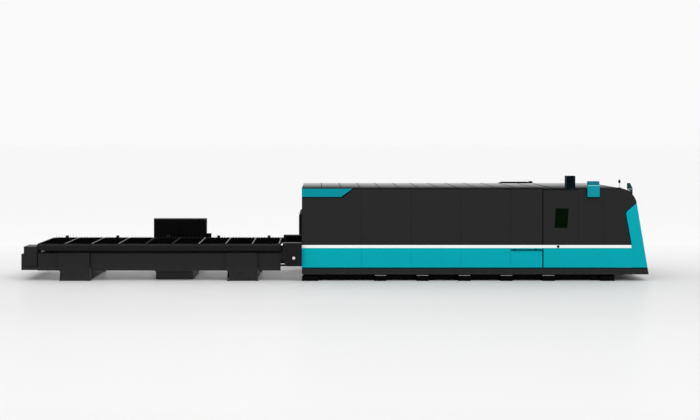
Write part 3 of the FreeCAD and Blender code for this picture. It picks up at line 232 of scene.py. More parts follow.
@dataclass(frozen=True)
class PowderCoat:
    """Baked paint on sheet steel: fine orange peel, slow tone drift, dust low down."""
    name: str
    colour: Colour
    roughness: float = 0.45
    gloss: float = 0.25
    drift: float = 0.08
    drift_scale: float = 1.3
    smear: float = 0.05
    smear_scale: float = 5.0
    peel: float = 0.12
    peel_scale: float = 900.0
    peel_depth: float = 0.0004
    dust: float = 0.0
    dust_colour: Colour = (0.30, 0.28, 0.25)
    dust_height: float = 0.5
    dust_scale: float = 9.0
    dust_least: float = 0.2

    def make(self) -> bpy.types.Material:
        """Build the material.

        Returns:
            The finished material.
        """
        desk = Desk(self.name)
        slow = desk.spread(desk.noise(self.drift_scale, detail=4.0), 0.0, 1.0)
        colour = desk.blend(slow, shade(self.colour, 1 - self.drift),
                            shade(self.colour, 1 + self.drift))
        if self.dust:
            low = desk.spread(desk.along(Axis.Z), self.dust, 0.0, 0.0, self.dust_height)
            patch = desk.spread(desk.noise(self.dust_scale, detail=6.0), self.dust_least, 1.0)
            colour = desk.blend(desk.times(low, patch), colour, self.dust_colour)
        rough = desk.spread(desk.noise(self.smear_scale, detail=5.0),
                            self.roughness - self.smear, self.roughness + self.smear)
        desk.surface(colour, rough, self.gloss)
        desk.bump(desk.noise(self.peel_scale, detail=2.0), self.peel, self.peel_depth)
        return desk.material


@dataclass(frozen=True)
class PaintedReflectionCoat:
    """Black roof paint with a painted reflection: a paler grey, standing in for the white
    surroundings mirrored at a low angle, grows towards the rear and shows only above the sill.
    """
    name: str
    front: Colour
    rear: Colour
    front_y: float
    rear_y: float
    sill: float = 0.0
    sill_fade: float = 0.04
    front_wear: float = 0.8
    rear_wear: float = 0.9
    wear_scale: float = 2.2
    roughness: float = 0.55
    gloss: float = 0.01
    smear: float = 0.06
    smear_scale: float = 5.0
    peel: float = 0.12
    peel_scale: float = 800.0
    peel_depth: float = 0.0004

    def make(self) -> bpy.types.Material:
        """Build the material.

        Returns:
            The finished material.
        """
        desk = Desk(self.name)
        # painted reflection: the paler colour's share rises over the sill and towards the rear
        top = desk.spread(desk.along(Axis.Z), 0.0, 1.0, self.sill - self.sill_fade, self.sill)
        back = desk.spread(desk.along(Axis.Y), 0.0, 1.0, self.front_y, self.rear_y)
        painted_reflection = desk.times(top, back)
        clean = desk.blend(painted_reflection, self.front, self.rear)
        worn = desk.blend(painted_reflection, shade(self.front, self.front_wear),
                          shade(self.rear, self.rear_wear))
        patch = desk.spread(desk.noise(self.wear_scale, detail=5.0), 0.0, 1.0)
        rough = desk.spread(desk.noise(self.smear_scale, detail=5.0),
                            self.roughness - self.smear, self.roughness + self.smear)
        desk.surface(desk.blend(patch, worn, clean), rough, self.gloss)
        desk.bump(desk.noise(self.peel_scale, detail=2.0), self.peel, self.peel_depth)
        return desk.material


@dataclass(frozen=True)
class CutSteel:
    """Bare steel that heat, spatter and dust have dulled."""
    name: str
    colour: Colour
    stain: Colour
    roughness: float = 0.5
    metallic: float = 0.85
    gloss: float = 0.5
    grain: float = 22.0
    stain_edges: Flat = (0.38, 0.66)
    polish: float = 0.12
    rust: float = 0.15
    smear_scale: float = 2.3
    pit_scale: float = 14.0
    pit_strength: float = 0.25
    pit_depth: float = 0.0006

    def make(self) -> bpy.types.Material:
        """Build the material.

        Returns:
            The finished material.
        """
        desk = Desk(self.name)
        blotch = desk.spread(desk.noise(self.grain, detail=6.0), 0.0, 1.0, *self.stain_edges)
        rough = desk.spread(desk.noise(self.grain * self.smear_scale, detail=4.0),
                            self.roughness - self.polish, self.roughness + self.rust)
        desk.surface(desk.blend(blotch, self.colour, self.stain), rough, self.gloss,
                     self.metallic)
        desk.bump(desk.noise(self.grain * self.pit_scale, detail=3.0), self.pit_strength,
                  self.pit_depth)
        return desk.material


@dataclass(frozen=True)
class DrawnSteel:
    """Ground or turned steel with fine lines along one axis."""
    name: str
    colour: Colour
    lines: Axis = Axis.X
    roughness: float = 0.32
    line_scale: float = 420.0
    line_stretch: float = 0.02
    line_shade: float = 0.8
    line_strength: float = 0.1
    line_depth: float = 0.0002
    polish: float = 0.08
    wear: float = 0.1

    def make(self) -> bpy.types.Material:
        """Build the material.

        Returns:
            The finished material.
        """
        desk = Desk(self.name)
        stretch = [1.0, 1.0, 1.0]
        stretch[self.lines.value] = self.line_stretch
        lines = desk.noise(self.line_scale, 2.0, tuple(stretch))
        colour = desk.blend(desk.spread(lines, 0.0, 1.0), shade(self.colour, self.line_shade),
                            self.colour)
        rough = desk.spread(lines, self.roughness - self.polish, self.roughness + self.wear)
        desk.surface(colour, rough, metallic=1.0)
        desk.bump(lines, self.line_strength, self.line_depth)
        return desk.material


@dataclass(frozen=True)
class SafetyGlass:
    """Dark filter glass with a faint ripple."""
    name: str
    colour: Colour
    clear: float = 0.35
    gloss: float = 0.15
    deep: float = 0.6
    tint_scale: float = 3.0
    smear: Flat = (0.05, 0.12)
    smear_scale: float = 14.0
    ripple_scale: float = 6.0
    ripple_strength: float = 0.02
    ripple_depth: float = 0.001

    def make(self) -> bpy.types.Material:
        """Build the material.

        Returns:
            The finished material.
        """
        desk = Desk(self.name)
        colour = desk.blend(desk.spread(desk.noise(self.tint_scale), 0.0, 1.0),
                            shade(self.colour, self.deep), self.colour)
        desk.surface(colour, desk.spread(desk.noise(self.smear_scale), *self.smear), self.gloss)
        desk.shader.inputs["Transmission Weight"].default_value = self.clear
        desk.bump(desk.noise(self.ripple_scale, detail=1.0), self.ripple_strength,
                  self.ripple_depth)
        return desk.material


@dataclass(frozen=True)
class MouldedPlastic:
    """Smooth plastic with a fine mould texture."""
    name: str
    colour: Colour
    roughness: float = 0.3
    gloss: float = 0.5
    flow_shade: float = 0.85
    flow_scale: float = 40.0
    smear_scale: float = 90.0
    polish: float = 0.05
    wear: float = 0.08
    grain: float = 0.15
    grain_scale: float = 1500.0
    grain_depth: float = 0.0002

    def make(self) -> bpy.types.Material:
        """Build the material.

        Returns:
            The finished material.
        """
        desk = Desk(self.name)
        colour = desk.blend(desk.noise(self.flow_scale), shade(self.colour, self.flow_shade),
                            self.colour)
        rough = desk.spread(desk.noise(self.smear_scale), self.roughness - self.polish,
                            self.roughness + self.wear)
        desk.surface(colour, rough, self.gloss)
        desk.bump(desk.noise(self.grain_scale, detail=2.0), self.grain, self.grain_depth)
        return desk.material


class Palette:
    """Every finish of the machine, made once and found by name."""

    FINISHES = (
        PowderCoat("panel_black", (0.0085, 0.0085, 0.0087), 0.42, 0.22),
        PowderCoat("panel_teal", (0.0005, 0.385, 0.445), 0.5, 0.04, 0.02),
        PowderCoat("accent_teal", (0.001, 0.26, 0.32), 0.5, 0.05, 0.02),
        PowderCoat("hood_teal", (0.002, 0.28, 0.345), 0.45, 0.08, 0.03),
        # hood teal darkened as painted shade, for the hood's slope
        PowderCoat("hood_slope", (0.004, 0.155, 0.185), 0.5, 0.04, 0.03),
        # pale teal as a painted highlight along the hood's front edge
        PowderCoat("hood_highlight_edge", (0.12, 0.65, 0.71), 0.4, 0.2, 0.01),
        # dark teal for hinges and edging, also used for painted shade in the cover's slot and
        # painted shadow round the hood
        PowderCoat("dark_teal_and_painted_shade", (0.0008, 0.022, 0.028), 0.6, 0.02, 0.05),
        PowderCoat("edge_teal", (0.0008, 0.026, 0.040), 0.6, 0.02, 0.05),
        PowderCoat("stripe_white", (0.95, 0.97, 0.96), 0.5, 0.2, 0.01),
        PowderCoat("skirt_black", (0.008, 0.0083, 0.0078), 0.45, 0.2, dust=0.04),
        # roof and nose top: black paint with a painted reflection that pales towards the rear
        PaintedReflectionCoat("roof_painted_reflection", (0.010, 0.010, 0.010), (0.46, 0.46, 0.465), -1.2, 1.5),
        PaintedReflectionCoat("nose_painted_reflection", (0.0085, 0.0085, 0.0087), (0.64, 0.64, 0.645), -2.6, -1.0, 2.30),
        PowderCoat("roof_trim", (0.006, 0.006, 0.006), 0.6, 0.02),
        PowderCoat("base_black", (0.001, 0.0012, 0.0012), 0.55, 0.03, dust=0.01),
        PowderCoat("stack_navy", (0.0012, 0.0045, 0.0075), 0.5, 0.03),
        # teal darkened as painted shade, for the fin and the patch below it
        PowderCoat("fin_teal_painted_shade", (0.010, 0.045, 0.05), 0.5, 0.05),
        PowderCoat("table_black", (0.0115, 0.0115, 0.012), 0.45, 0.16, dust=0.05),
        # table black made paler as painted light, for the middle leg in the shade under the table
        PowderCoat("leg_painted_light", (0.034, 0.034, 0.0345), 0.5, 0.1, dust=0.02),
        PowderCoat("platform_black", (0.0088, 0.0088, 0.0092), 0.5, 0.1),
        # paler black as a painted highlight on the fascia's top lips
        PowderCoat("platform_edge", (0.019, 0.019, 0.0195), 0.5, 0.15),
        PowderCoat("entry_black", (0.0065, 0.0065, 0.0065), 0.5, 0.12),
        PowderCoat("entry_edge", (0.17, 0.17, 0.17), 0.45, 0.2),
        PowderCoat("entry_lining", (0.0008, 0.0008, 0.0008), 0.7, 0.02),
        PowderCoat("cabinet_black", (0.0014, 0.0014, 0.0015), 0.5, 0.05),
        # pale grey as a painted highlight on the cabinet's top
        PowderCoat("cabinet_cap_painted_highlight", (0.16, 0.16, 0.165), 0.5, 0.1),
        PowderCoat("inside_black", (0.003, 0.003, 0.003), 0.6, 0.05),
        PowderCoat("gantry_grey", (0.30, 0.31, 0.32), 0.45, 0.3, dust=0.1),
        CutSteel("slat_steel", (0.0042, 0.004, 0.0038), (0.0022, 0.0021, 0.002), 0.7, 0.0,
                 gloss=0.0),
        # worn steel, its pale grey partly a painted highlight on the bars' tops
        CutSteel("bar_worn_and_highlight", (0.34, 0.34, 0.335), (0.19, 0.185, 0.18), metallic=0.3),
        CutSteel("rail_dark", (0.007, 0.007, 0.007), (0.004, 0.004, 0.004), metallic=0.2,
                 gloss=0.05),
        CutSteel("foot_iron", (0.0022, 0.0022, 0.0022), (0.0012, 0.0012, 0.0012), metallic=0.1,
                 gloss=0.03),
        # bright grey as a painted reflection on the tops of the base feet
        CutSteel("foot_top_painted_reflection", (0.34, 0.34, 0.34), (0.26, 0.26, 0.26), metallic=0.3),
        CutSteel("wheel_iron", (0.010, 0.010, 0.010), (0.006, 0.006, 0.006), metallic=0.2,
                 gloss=0.1),
        CutSteel("jack_steel", (0.10, 0.10, 0.10), (0.06, 0.06, 0.06), metallic=0.6),
        DrawnSteel("rail_steel", (0.36, 0.36, 0.37)),
        DrawnSteel("shaft_steel", (0.5, 0.5, 0.51), Axis.Z),
        DrawnSteel("axle_steel", (0.42, 0.42, 0.43), Axis.Y),
        MouldedPlastic("handle_black", (0.003, 0.003, 0.003), 0.35, 0.08),
        DrawnSteel("zinc_bright", (0.92, 0.92, 0.91), Axis.Y, 0.3),
        MouldedPlastic("lamp_smoke", (0.003, 0.003, 0.003), 0.2, 0.1),
        MouldedPlastic("pole_grey", (0.72, 0.72, 0.72), 0.35),
        MouldedPlastic("seal_rubber", (0.0008, 0.0012, 0.0008), 0.6, 0.02),
        MouldedPlastic("gasket_green", (0.0015, 0.0048, 0.0015), 0.5, 0.02),
        SafetyGlass("filter_glass", (0.0012, 0.0062, 0.0012), 0.0, 0.02),
    )

    def __init__(self) -> None:
        """Make every material."""
        self.made = {finish.name: finish.make() for finish in self.FINISHES}

    def coat(self, thing: bpy.types.Object, name: str) -> bpy.types.Object:
        """Give an object one finish all over.

        Args:
            thing: a CAD node or a new piece.
            name: the finish's name.

        Returns:
            The same object.
        """
        material = self.made[name]
        if thing.data.materials:
            for slot in range(len(thing.data.materials)):
                thing.data.materials[slot] = material
        else:
            thing.data.materials.append(material)
        return thing

    def nodes(self, name: str, *nodes: str) -> None:
        """Give CAD nodes a finish."""
        for node in nodes:
            self.coat(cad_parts[node], name)


# --- Mesh making ---

THIN_EDGE = 0.0005   # edge radius on rubber and thin strips
SHEET_EDGE = 0.0008  # on folded sheet
PLATE_EDGE = 0.001   # on plates


class Shop:
    """Makes meshes in the row frame, where every size is in metres."""

    def __init__(self, palette: Palette) -> None:
        """Keep the palette that pieces take their finish from."""
        self.palette = palette

    def finish(self, name: str, mesh: bmesh.types.BMesh, coat: str, body: str,
               round_edge: float = 0.0, segments: int = 2,
               smooth: bool = False) -> bpy.types.Object:
        """Turn a mesh into a piece that rides on a body.

        Args:
            name: the piece's name.
            mesh: its faces, which are freed here.
            coat: its finish.
            body: the CAD body that it moves with.
            round_edge: radius of its edges, or 0 for sharp ones.
            segments: faces across a rounded edge.
            smooth: True shades its round faces smooth.

        Returns:
            The new object.
        """
        bmesh.ops.recalc_face_normals(mesh, faces=mesh.faces[:])
        if round_edge:
            sharp = [edge for edge in mesh.edges
                     if len(edge.link_faces) == 2 and edge.calc_face_angle(0) > 0.5]
            bmesh.ops.bevel(mesh, geom=sharp, offset=round_edge, segments=segments,
                            profile=0.5, affect="EDGES", clamp_overlap=True)
        data = bpy.data.meshes.new(name)
        mesh.to_mesh(data)
        mesh.free()
        if smooth or round_edge:
            for polygon in data.polygons:
                polygon.use_smooth = True
            data.set_sharp_from_angle(angle=math.radians(38))
        thing = bpy.data.objects.new(name, data)
        bpy.context.scene.collection.objects.link(thing)
        self.palette.coat(thing, coat)
        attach(thing, body)
        LOG.info("%s rides on %s", name, body)
        return thing

    @staticmethod
    def add_block(mesh: bmesh.types.BMesh, low: Point, high: Point) -> None:
        """Add a block to a mesh.

        Args:
            mesh: the mesh that it goes into.
            low: its lowest corner.
            high: its highest corner.
        """
        corners = [mesh.verts.new((x, y, z)) for x in (low[0], high[0])
                   for y in (low[1], high[1]) for z in (low[2], high[2])]
        for face in ((0, 1, 3, 2), (4, 6, 7, 5), (0, 4, 5, 1), (2, 3, 7, 6),
                     (0, 2, 6, 4), (1, 5, 7, 3)):
            mesh.faces.new([corners[index] for index in face])

    def blocks(self, name: str, corners: list[tuple[Point, Point]], coat: str,
               body: str = "machine", round_edge: float = SHEET_EDGE) -> bpy.types.Object:
        """Make one piece out of blocks.

        Args:
            name: the piece's name.
            corners: the lowest and the highest corner of each block.
            coat: its finish.
            body: the CAD body that it moves with.
            round_edge: radius of its edges.

        Returns:
            The new object.
        """
        mesh = bmesh.new()
        for low, high in corners:
            self.add_block(mesh, low, high)
        return self.finish(name, mesh, coat, body, round_edge)

    def plate(self, name: str, outline: list[Flat], near: float, far: float, coat: str,
              round_edge: float = THIN_EDGE) -> bpy.types.Object:
        """Make one fixed piece from an outline seen along Y.

        Args:
            name: the piece's name.
            outline: its corners as X and Z.
            near: its front face.
            far: its rear face.
            coat: its finish.
            round_edge: radius of its edges.

        Returns:
            The new object.
        """
        mesh = bmesh.new()
        self.add_prism(mesh, outline, Axis.Y, near, far)
        return self.finish(name, mesh, coat, "machine", round_edge)

    @staticmethod
    def add_prism(mesh: bmesh.types.BMesh, outline: list[Flat], axis: Axis,
                  start: float, stop: float) -> None:
        """Add a prism to a mesh.

        Args:
            mesh: the mesh that it goes into.
            outline: corners in the plane across the axis, in X, Y, Z order.
            axis: the way that the outline is drawn out.
            start: its first end.
            stop: its other end.
        """
        rings = []
        for place in (start, stop):
            ring = []
            for first, second in outline:
                spot = [first, second]
                spot.insert(axis.value, place)
                ring.append(mesh.verts.new(spot))
            rings.append(ring)
        mesh.faces.new(rings[0])
        mesh.faces.new(rings[1][::-1])
        count = len(outline)
        for index in range(count):
            after = (index + 1) % count
            mesh.faces.new((rings[0][index], rings[0][after],
                            rings[1][after], rings[1][index]))

    @staticmethod
    def add_rod(mesh: bmesh.types.BMesh, centre: Point, radius: float, length: float,
                axis: Axis, sides: int = 32) -> None:
        """Add a round bar that starts at a point and runs along an axis.

        Args:
            mesh: the mesh that it goes into.
            centre: the middle of its first end.
            radius: its radius.
            length: how far it runs, negative against the axis.
            axis: the way that it runs.
            sides: how many faces go round it.
        """
        others = [index for index in range(3) if index != axis.value]
        ring = []
        for step in range(sides):
            turn = 2 * math.pi * step / sides
            ring.append((centre[others[0]] + radius * math.cos(turn),
                         centre[others[1]] + radius * math.sin(turn)))
        start = centre[axis.value]
        Shop.add_prism(mesh, ring, axis, start, start + length)

    @staticmethod
    def add_bolt(mesh: bmesh.types.BMesh, spot: Point, radius: float, rise: float,
                 axis: Axis) -> None:
        """Add a hexagonal head on a washer, where rise is negative against the axis."""
        Shop.add_rod(mesh, spot, radius * 1.4, rise * 0.25, axis, 20)
        Shop.add_rod(mesh, spot, radius, rise, axis, 6)

    @staticmethod
    def add_louvres(mesh: bmesh.types.BMesh, low: Flat, high: Flat, face: float,
                    rise: float, count: int) -> None:
        """Add a stack of pressed air slots to a wall that faces along Y.

        Args:
            mesh: the mesh that they go into.
            low: lower left corner of the field, as X and Z.
            high: upper right corner of the field.
            face: the wall's place along Y.
            rise: how far a slot stands out, negative towards the front.
            count: how many slots.
        """
        pitch = (high[1] - low[1]) / count
        for index in range(count):
            base = low[1] + index * pitch
            Shop.add_prism(mesh, [(face, base), (face + rise, base + 0.08 * pitch),
                                  (face + rise, base + 0.2 * pitch),
                                  (face, base + 0.8 * pitch)], Axis.X, low[0], high[0])


# --- Sub-assemblies ---

@dataclass
class SlatField:
    """Saw-toothed slats of one platform, with more teeth than the solids have."""
    shop: Shop
    node: str
    body: str
    bays: int = 9
    per_bay: int = 8
    slat: float = 0.005
    teeth: int = 24
    tooth: float = 0.03
    tip: float = 0.012
    horn: float = 0.016

    def build(self) -> bpy.types.Object:
        """Make the slats in place of the plain ones.

        Returns:
            One piece with every slat of the platform.
        """
        low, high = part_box(self.node)
        pitch = self.bay_pitch(low, high)
        step = pitch / (self.per_bay + 1)
        profile = self.profile(low, high)
        mesh = bmesh.new()
        for bay in range(self.bays):
            for row in range(self.per_bay):
                start = low.x + bay * pitch + row * step
                Shop.add_prism(mesh, profile, Axis.X, start, start + self.slat)
        piece = self.shop.finish(self.node.replace("slats", "toothed_slats"), mesh,
                                 "slat_steel", self.body)
        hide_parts(self.node)
        return piece

    def bay_pitch(self, low: Vector, high: Vector) -> float:
        """Find the length of a bay from the first and the last slat."""
        rows = (self.per_bay - 1) / (self.per_bay + 1)
        return (high.x - low.x - self.slat) / (self.bays - 1 + rows)

    def profile(self, low: Vector, high: Vector) -> list[Flat]:
        """Draw one slat seen along X.

        Args:
            low: lowest corner of the slats.
            high: highest corner of the slats.

        Returns:
            Its corners as Y and Z.
        """
        step = (high.y - low.y) / self.teeth
        valley = high.z - self.tooth
        points = [(low.y, low.z), (high.y, low.z)]
        for tooth in reversed(range(self.teeth)):
            middle = low.y + (tooth + 0.5) * step
            if tooth == self.teeth - 1:
                points.append((high.y, valley))
            peak = high.z + (self.horn if tooth in (0, self.teeth - 1) else 0.0)
            points.append((middle + self.tip / 2, peak))
            points.append((middle - self.tip / 2, peak))
            points.append((middle - step / 2, valley))
        return points


@dataclass
class ExchangeTable:
    """Side beams, rails, leg covers, end beam and the two platforms."""
    shop: Shop
    bays: int = 9
    bar_width: float = 0.025
    bar_drop: float = 0.015
    cap_inset: float = 0.002
    cap_height: float = 0.004
    dark_cap_bars: tuple[int, ...] = (4, 5)
    fascia_nose: float = 0.076
    fascia_bottom: float = 0.760
    fascia_top: float = 0.920
    lip_reach: Flat = (0.008, 0.002)  # inwards and outwards from the plate
    lip_drop: Flat = (0.036, 0.010)  # of its lower and upper edge
    fascia_bolt_start: float = 0.35
    fascia_bolt_pitch: float = 0.687
    fascia_bolt_rise: float = 0.04
    bolt_radius: float = 0.011
    bolt_height: float = 0.005
    leg_starts: Flat = (-7.053, -2.776)
    leg_width: float = 0.796
    leg_depth: Flat = (-1.64, 0.63)
    leg_bolt_insets: Flat = (0.12, 0.05)  # from the left and the right
    leg_bolt_levels: Flat = (0.33, 0.65)
    panel_insets: Flat = (0.041, 0.003)  # from the left and the right
    panel_levels: Flat = (0.022, 0.300)
    panel_thick: float = 0.003
    middle_leg: Flat = (-4.598, -3.648)
    middle_front: float = -1.355
    middle_gap: float = 0.002
    end_cover_levels: Flat = (0.368, 0.862)
    end_cover_inset: float = 0.002
    end_cover_lap: float = 0.022
    end_cover_thick: float = 0.0035
    end_edging_thick: float = 0.0030
    end_edging_width: float = 0.022
    end_edging_top: float = 0.676
    end_edging_drops: Flat = (0.016, 0.012)  # of the upright and of the foot strip
    entry_length: float = 0.485
    entry_width: float = 0.14
    entry_fold: float = 0.004
    entry_proud: float = 0.001
    entry_fold_drop: float = 0.011
    liner_depths: Flat = (0.143, 0.1405)  # in from the rear
    liner_gap: float = 0.004
    liner_low: float = 0.70
    liner_drop: float = 0.012
    hole_inset: float = 0.281
    hole_level: float = 0.588
    roller: Point = (0.006, 0.038, 0.05)  # inset, radius and length
    roller_seat: Point = (0.056, 0.0515, 0.02)

    def build(self) -> None:
        """Make the fine pieces of the table."""
        for letter in ("a", "b"):
            body = "platform_" + letter
            field = SlatField(self.shop, body + "_slats", body)
            low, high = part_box(field.node)
            field.build()
            self.bar_caps(letter, field.bay_pitch(low, high), low, high)
        self.fascia_edges()
        self.leg_bolts()
        self.leg_panels()
        self.middle_cover()
        self.end_cover()
        self.entry_edges()
        self.entry_rollers()

    def bar_caps(self, letter: str, pitch: float, low: Vector, high: Vector) -> None:
        """Lay a steel strip on the bar at every bay line, in worn steel whose pale grey is partly
        a painted highlight, and darker on the middle bars.

        Args:
            letter: which platform.
            pitch: length of a bay.
            low: lowest corner of its slats.
            high: highest corner of its slats.
        """
        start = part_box("platform_%s_frame" % letter)[0].x
        top = high.z - self.bar_drop
        caps = {"bar_worn_and_highlight": [], "rail_dark": []}
        for index in range(self.bays + 1):
            left = start + index * pitch
            coat = "rail_dark" if index in self.dark_cap_bars else "bar_worn_and_highlight"
            caps[coat].append(((left + self.cap_inset, low.y, top),
                               (left + self.bar_width - self.cap_inset, high.y,
                                top + self.cap_height)))
        for coat, corners in caps.items():
            self.shop.blocks("platform_%s_caps_%s" % (letter, coat), corners, coat,
                             "platform_" + letter, PLATE_EDGE)

    def fascia_edges(self) -> None:
        """Fold a lip along the top of both side plates, in a paler black as a painted highlight,
        and bolt the plates on.
        """
        low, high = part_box("platform_a_frame")
        lips = []
        bolts = bmesh.new()
        for face, out in ((low.y, -1), (high.y, 1)):
            inner, outer = face - out * self.lip_reach[0], face + out * self.lip_reach[1]
            lips.append(((low.x + self.fascia_nose, min(inner, outer),
                          self.fascia_top - self.lip_drop[0]),
                         (high.x, max(inner, outer), self.fascia_top - self.lip_drop[1])))
            for index in range(self.bays):
                x = low.x + self.fascia_bolt_start + index * self.fascia_bolt_pitch
                Shop.add_bolt(bolts, (x, face, self.fascia_bottom + self.fascia_bolt_rise),
                              self.bolt_radius, out * self.bolt_height, Axis.Y)
        self.shop.blocks("platform_a_lips", lips, "platform_edge", "platform_a", PLATE_EDGE)
        self.shop.finish("platform_a_bolts", bolts, "platform_black", "platform_a")

    def leg_bolts(self) -> None:
        """Put a bolt in each corner of the four leg covers."""
        low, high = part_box("leg_covers")
        near, far = self.leg_bolt_insets
        mesh = bmesh.new()
        for left in self.leg_starts:
            for x in (left + near, left + self.leg_width - far):
                for z in self.leg_bolt_levels:
                    for face, out in ((low.y, -1), (high.y, 1)):
                        Shop.add_bolt(mesh, (x, face, z), self.bolt_radius,
                                      out * self.bolt_height, Axis.Y)
        self.shop.finish("leg_cover_bolts", mesh, "table_black", "machine")

    def leg_panels(self) -> None:
        """Close both sides of each leg with a plate between its covers."""
        near, far = self.panel_insets
        self.shop.blocks("leg_side_panels",
                         [((x - self.panel_thick, self.leg_depth[0], self.panel_levels[0]),
                           (x, self.leg_depth[1], self.panel_levels[1]))
                          for left in self.leg_starts
                          for x in (left + near, left + self.leg_width - far)], "table_black")

    def middle_cover(self) -> None:
        """Close the front of the middle leg with a plate painted paler than the table's black, as
        painted light that lifts the shade under the table.
        """
        (left, right), top = self.middle_leg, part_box("table_side_beams")[0].z
        self.shop.blocks("middle_leg_painted_light_cover",
                         [((left + self.middle_gap, self.middle_front - self.panel_thick,
                            self.panel_thick),
                           (right - self.middle_gap, self.middle_front,
                            top - self.middle_gap))], "leg_painted_light")

    def end_cover(self) -> None:
        """Close the drive's end of the table with a plate and its dark edging."""
        low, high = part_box("drive_housing")
        left, right = low.x + self.end_cover_inset, high.x + self.end_cover_lap
        bottom, top = self.end_cover_levels
        side, foot = self.end_edging_drops
        self.shop.blocks("drive_end_cover", [((left, low.y - self.end_cover_thick, bottom),
                                              (right, low.y, top))],
                         "table_black", round_edge=PLATE_EDGE)
        face = low.y - self.end_edging_thick
        self.shop.blocks("drive_end_edging",
                         [((right, face, bottom - side),
                           (right + self.end_edging_width, low.y, self.end_edging_top)),
                          ((left, face, bottom - foot), (right, low.y, bottom))],
                         "seal_rubber")

    def entry_edges(self) -> None:
        """Give both entry frames a pale folded edge, and line the rear one."""
        low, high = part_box("entry_frames")
        start = high.x - self.entry_length
        fold, proud = self.entry_fold, self.entry_proud
        folds = []
        for near, far in ((low.y, low.y + self.entry_width), (high.y - self.entry_width, high.y)):
            for inner, outer in ((near - proud, near + fold), (far - fold, far + proud)):
                folds.append(((start, inner, high.z - self.entry_fold_drop),
                              (high.x - proud, outer, high.z + proud)))
        self.shop.blocks("entry_frame_edges", folds, "entry_edge")
        near, far = self.liner_depths
        self.shop.blocks("entry_rear_liner",
                         [((start + self.liner_gap, high.y - near, self.liner_low),
                           (high.x - self.liner_gap, high.y - far, high.z - self.liner_drop))],
                         "entry_lining", round_edge=0.0006)

    def entry_rollers(self) -> None:
        """Set a zinc plated guide roller in the round hole of each entry frame."""
        low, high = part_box("entry_frames")
        x = high.x - self.entry_length + self.hole_inset
        bright, dark = bmesh.new(), bmesh.new()
        for face, out in ((low.y, 1), (high.y, -1)):
            for mesh, (inset, radius, length) in ((bright, self.roller),
                                                  (dark, self.roller_seat)):
                Shop.add_rod(mesh, (x, face + out * inset, self.hole_level), radius,
                             out * length, Axis.Y)
        self.shop.finish("entry_rollers", bright, "zinc_bright", "machine", 0.003,
                         smooth=True)
        self.shop.finish("entry_roller_seats", dark, "entry_lining", "machine", smooth=True)

    def dress(self) -> None:
        """Coat the table's nodes."""
        palette = self.shop.palette
        palette.nodes("table_black", "table_side_beams", "table_legs", "leg_covers",
                      "foot_plates", "drive_housing", "table_end_beam", "bed_side_beams")
        palette.nodes("platform_black", "platform_a_frame", "platform_b_frame",
                      "platform_a_stops")
        palette.nodes("rail_dark", "upper_rails", "lower_rails")
        palette.nodes("wheel_iron", "platform_a_wheels_1", "platform_a_wheels_2",
                      "platform_b_wheels_1", "platform_b_wheels_2")
        palette.nodes("axle_steel", "drive_shaft")
        palette.nodes("jack_steel", "jack_screws")
        palette.nodes("entry_black", "entry_frames")


@dataclass
class ControlCabinet:
    """Upright cabinet behind the table."""
    shop: Shop
    cap: float = 0.012
    cap_lap: float = 0.004
    slot_levels: Flat = (0.20, 0.42)
    slot_inset: float = 0.12
    slot_rise: float = 0.006
    slots: int = 9
    grip_inset: float = 0.036
    grip_levels: Flat = (0.90, 1.14)
    grip_half: float = 0.02
    grip_thick: float = 0.003
    lock: Point = (0.86, 0.014, 0.006)  # level, radius and rise
    lock_sunk: float = 0.001
    elbow_width: float = 0.105
    elbow_height: float = 0.17
    elbow_inset: float = 0.002
    elbow_gap: float = 0.001

    def build(self) -> None:
        """Make the cap, pale grey as a painted highlight on the cabinet's top, the trim of both
        doors and the duct's elbow cover.
        """
        low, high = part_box("control_cabinet")
        self.shop.blocks("cabinet_cap_painted_highlight",
                         [((low.x - self.cap_lap, low.y - self.cap_lap, high.z),
                           (high.x + self.cap_lap, high.y, high.z + self.cap))],
                         "cabinet_cap_painted_highlight", round_edge=0.002)
        for side in ("left", "right"):
            self.door_trim(side, low.y)
        start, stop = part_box("cabinet_duct")
        inset = self.elbow_inset
        self.shop.blocks("cabinet_duct_elbow",
                         [((start.x + self.elbow_gap, start.y + inset,
                            stop.z - self.elbow_height),
                           (start.x + self.elbow_width, stop.y - inset, stop.z - inset))],
                         "cabinet_black", round_edge=0.004)

    def door_trim(self, side: str, face: float) -> None:
        """Give one door its air slots, its handle plate and its lock.

        Args:
            side: left or right.
            face: the door's front, along Y.
        """
        body = "door_" + side
        first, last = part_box("cabinet_door_" + side)
        slots = bmesh.new()
        Shop.add_louvres(slots, (first.x + self.slot_inset, self.slot_levels[0]),
                         (last.x - self.slot_inset, self.slot_levels[1]), face,
                         -self.slot_rise, self.slots)
        self.shop.finish("cabinet_slots_" + side, slots, "cabinet_black", body, SHEET_EDGE)
        x = last.x - self.grip_inset if side == "left" else first.x + self.grip_inset
        level, radius, rise = self.lock
        plate = bmesh.new()
        Shop.add_block(plate, (x - self.grip_half, face - self.grip_thick, self.grip_levels[0]),
                       (x + self.grip_half, face, self.grip_levels[1]))
        Shop.add_rod(plate, (x, face - self.lock_sunk, level), radius, -rise, Axis.Y, 24)
        self.shop.finish("cabinet_handle_plate_" + side, plate, "cabinet_black", body,
                         PLATE_EDGE)

    def dress(self) -> None:
        """Coat the cabinet's nodes."""
        palette = self.shop.palette
        palette.nodes("cabinet_black", "control_cabinet", "cabinet_door_left",
                      "cabinet_door_right", "cabinet_duct")
        palette.nodes("shaft_steel", "cabinet_pins")


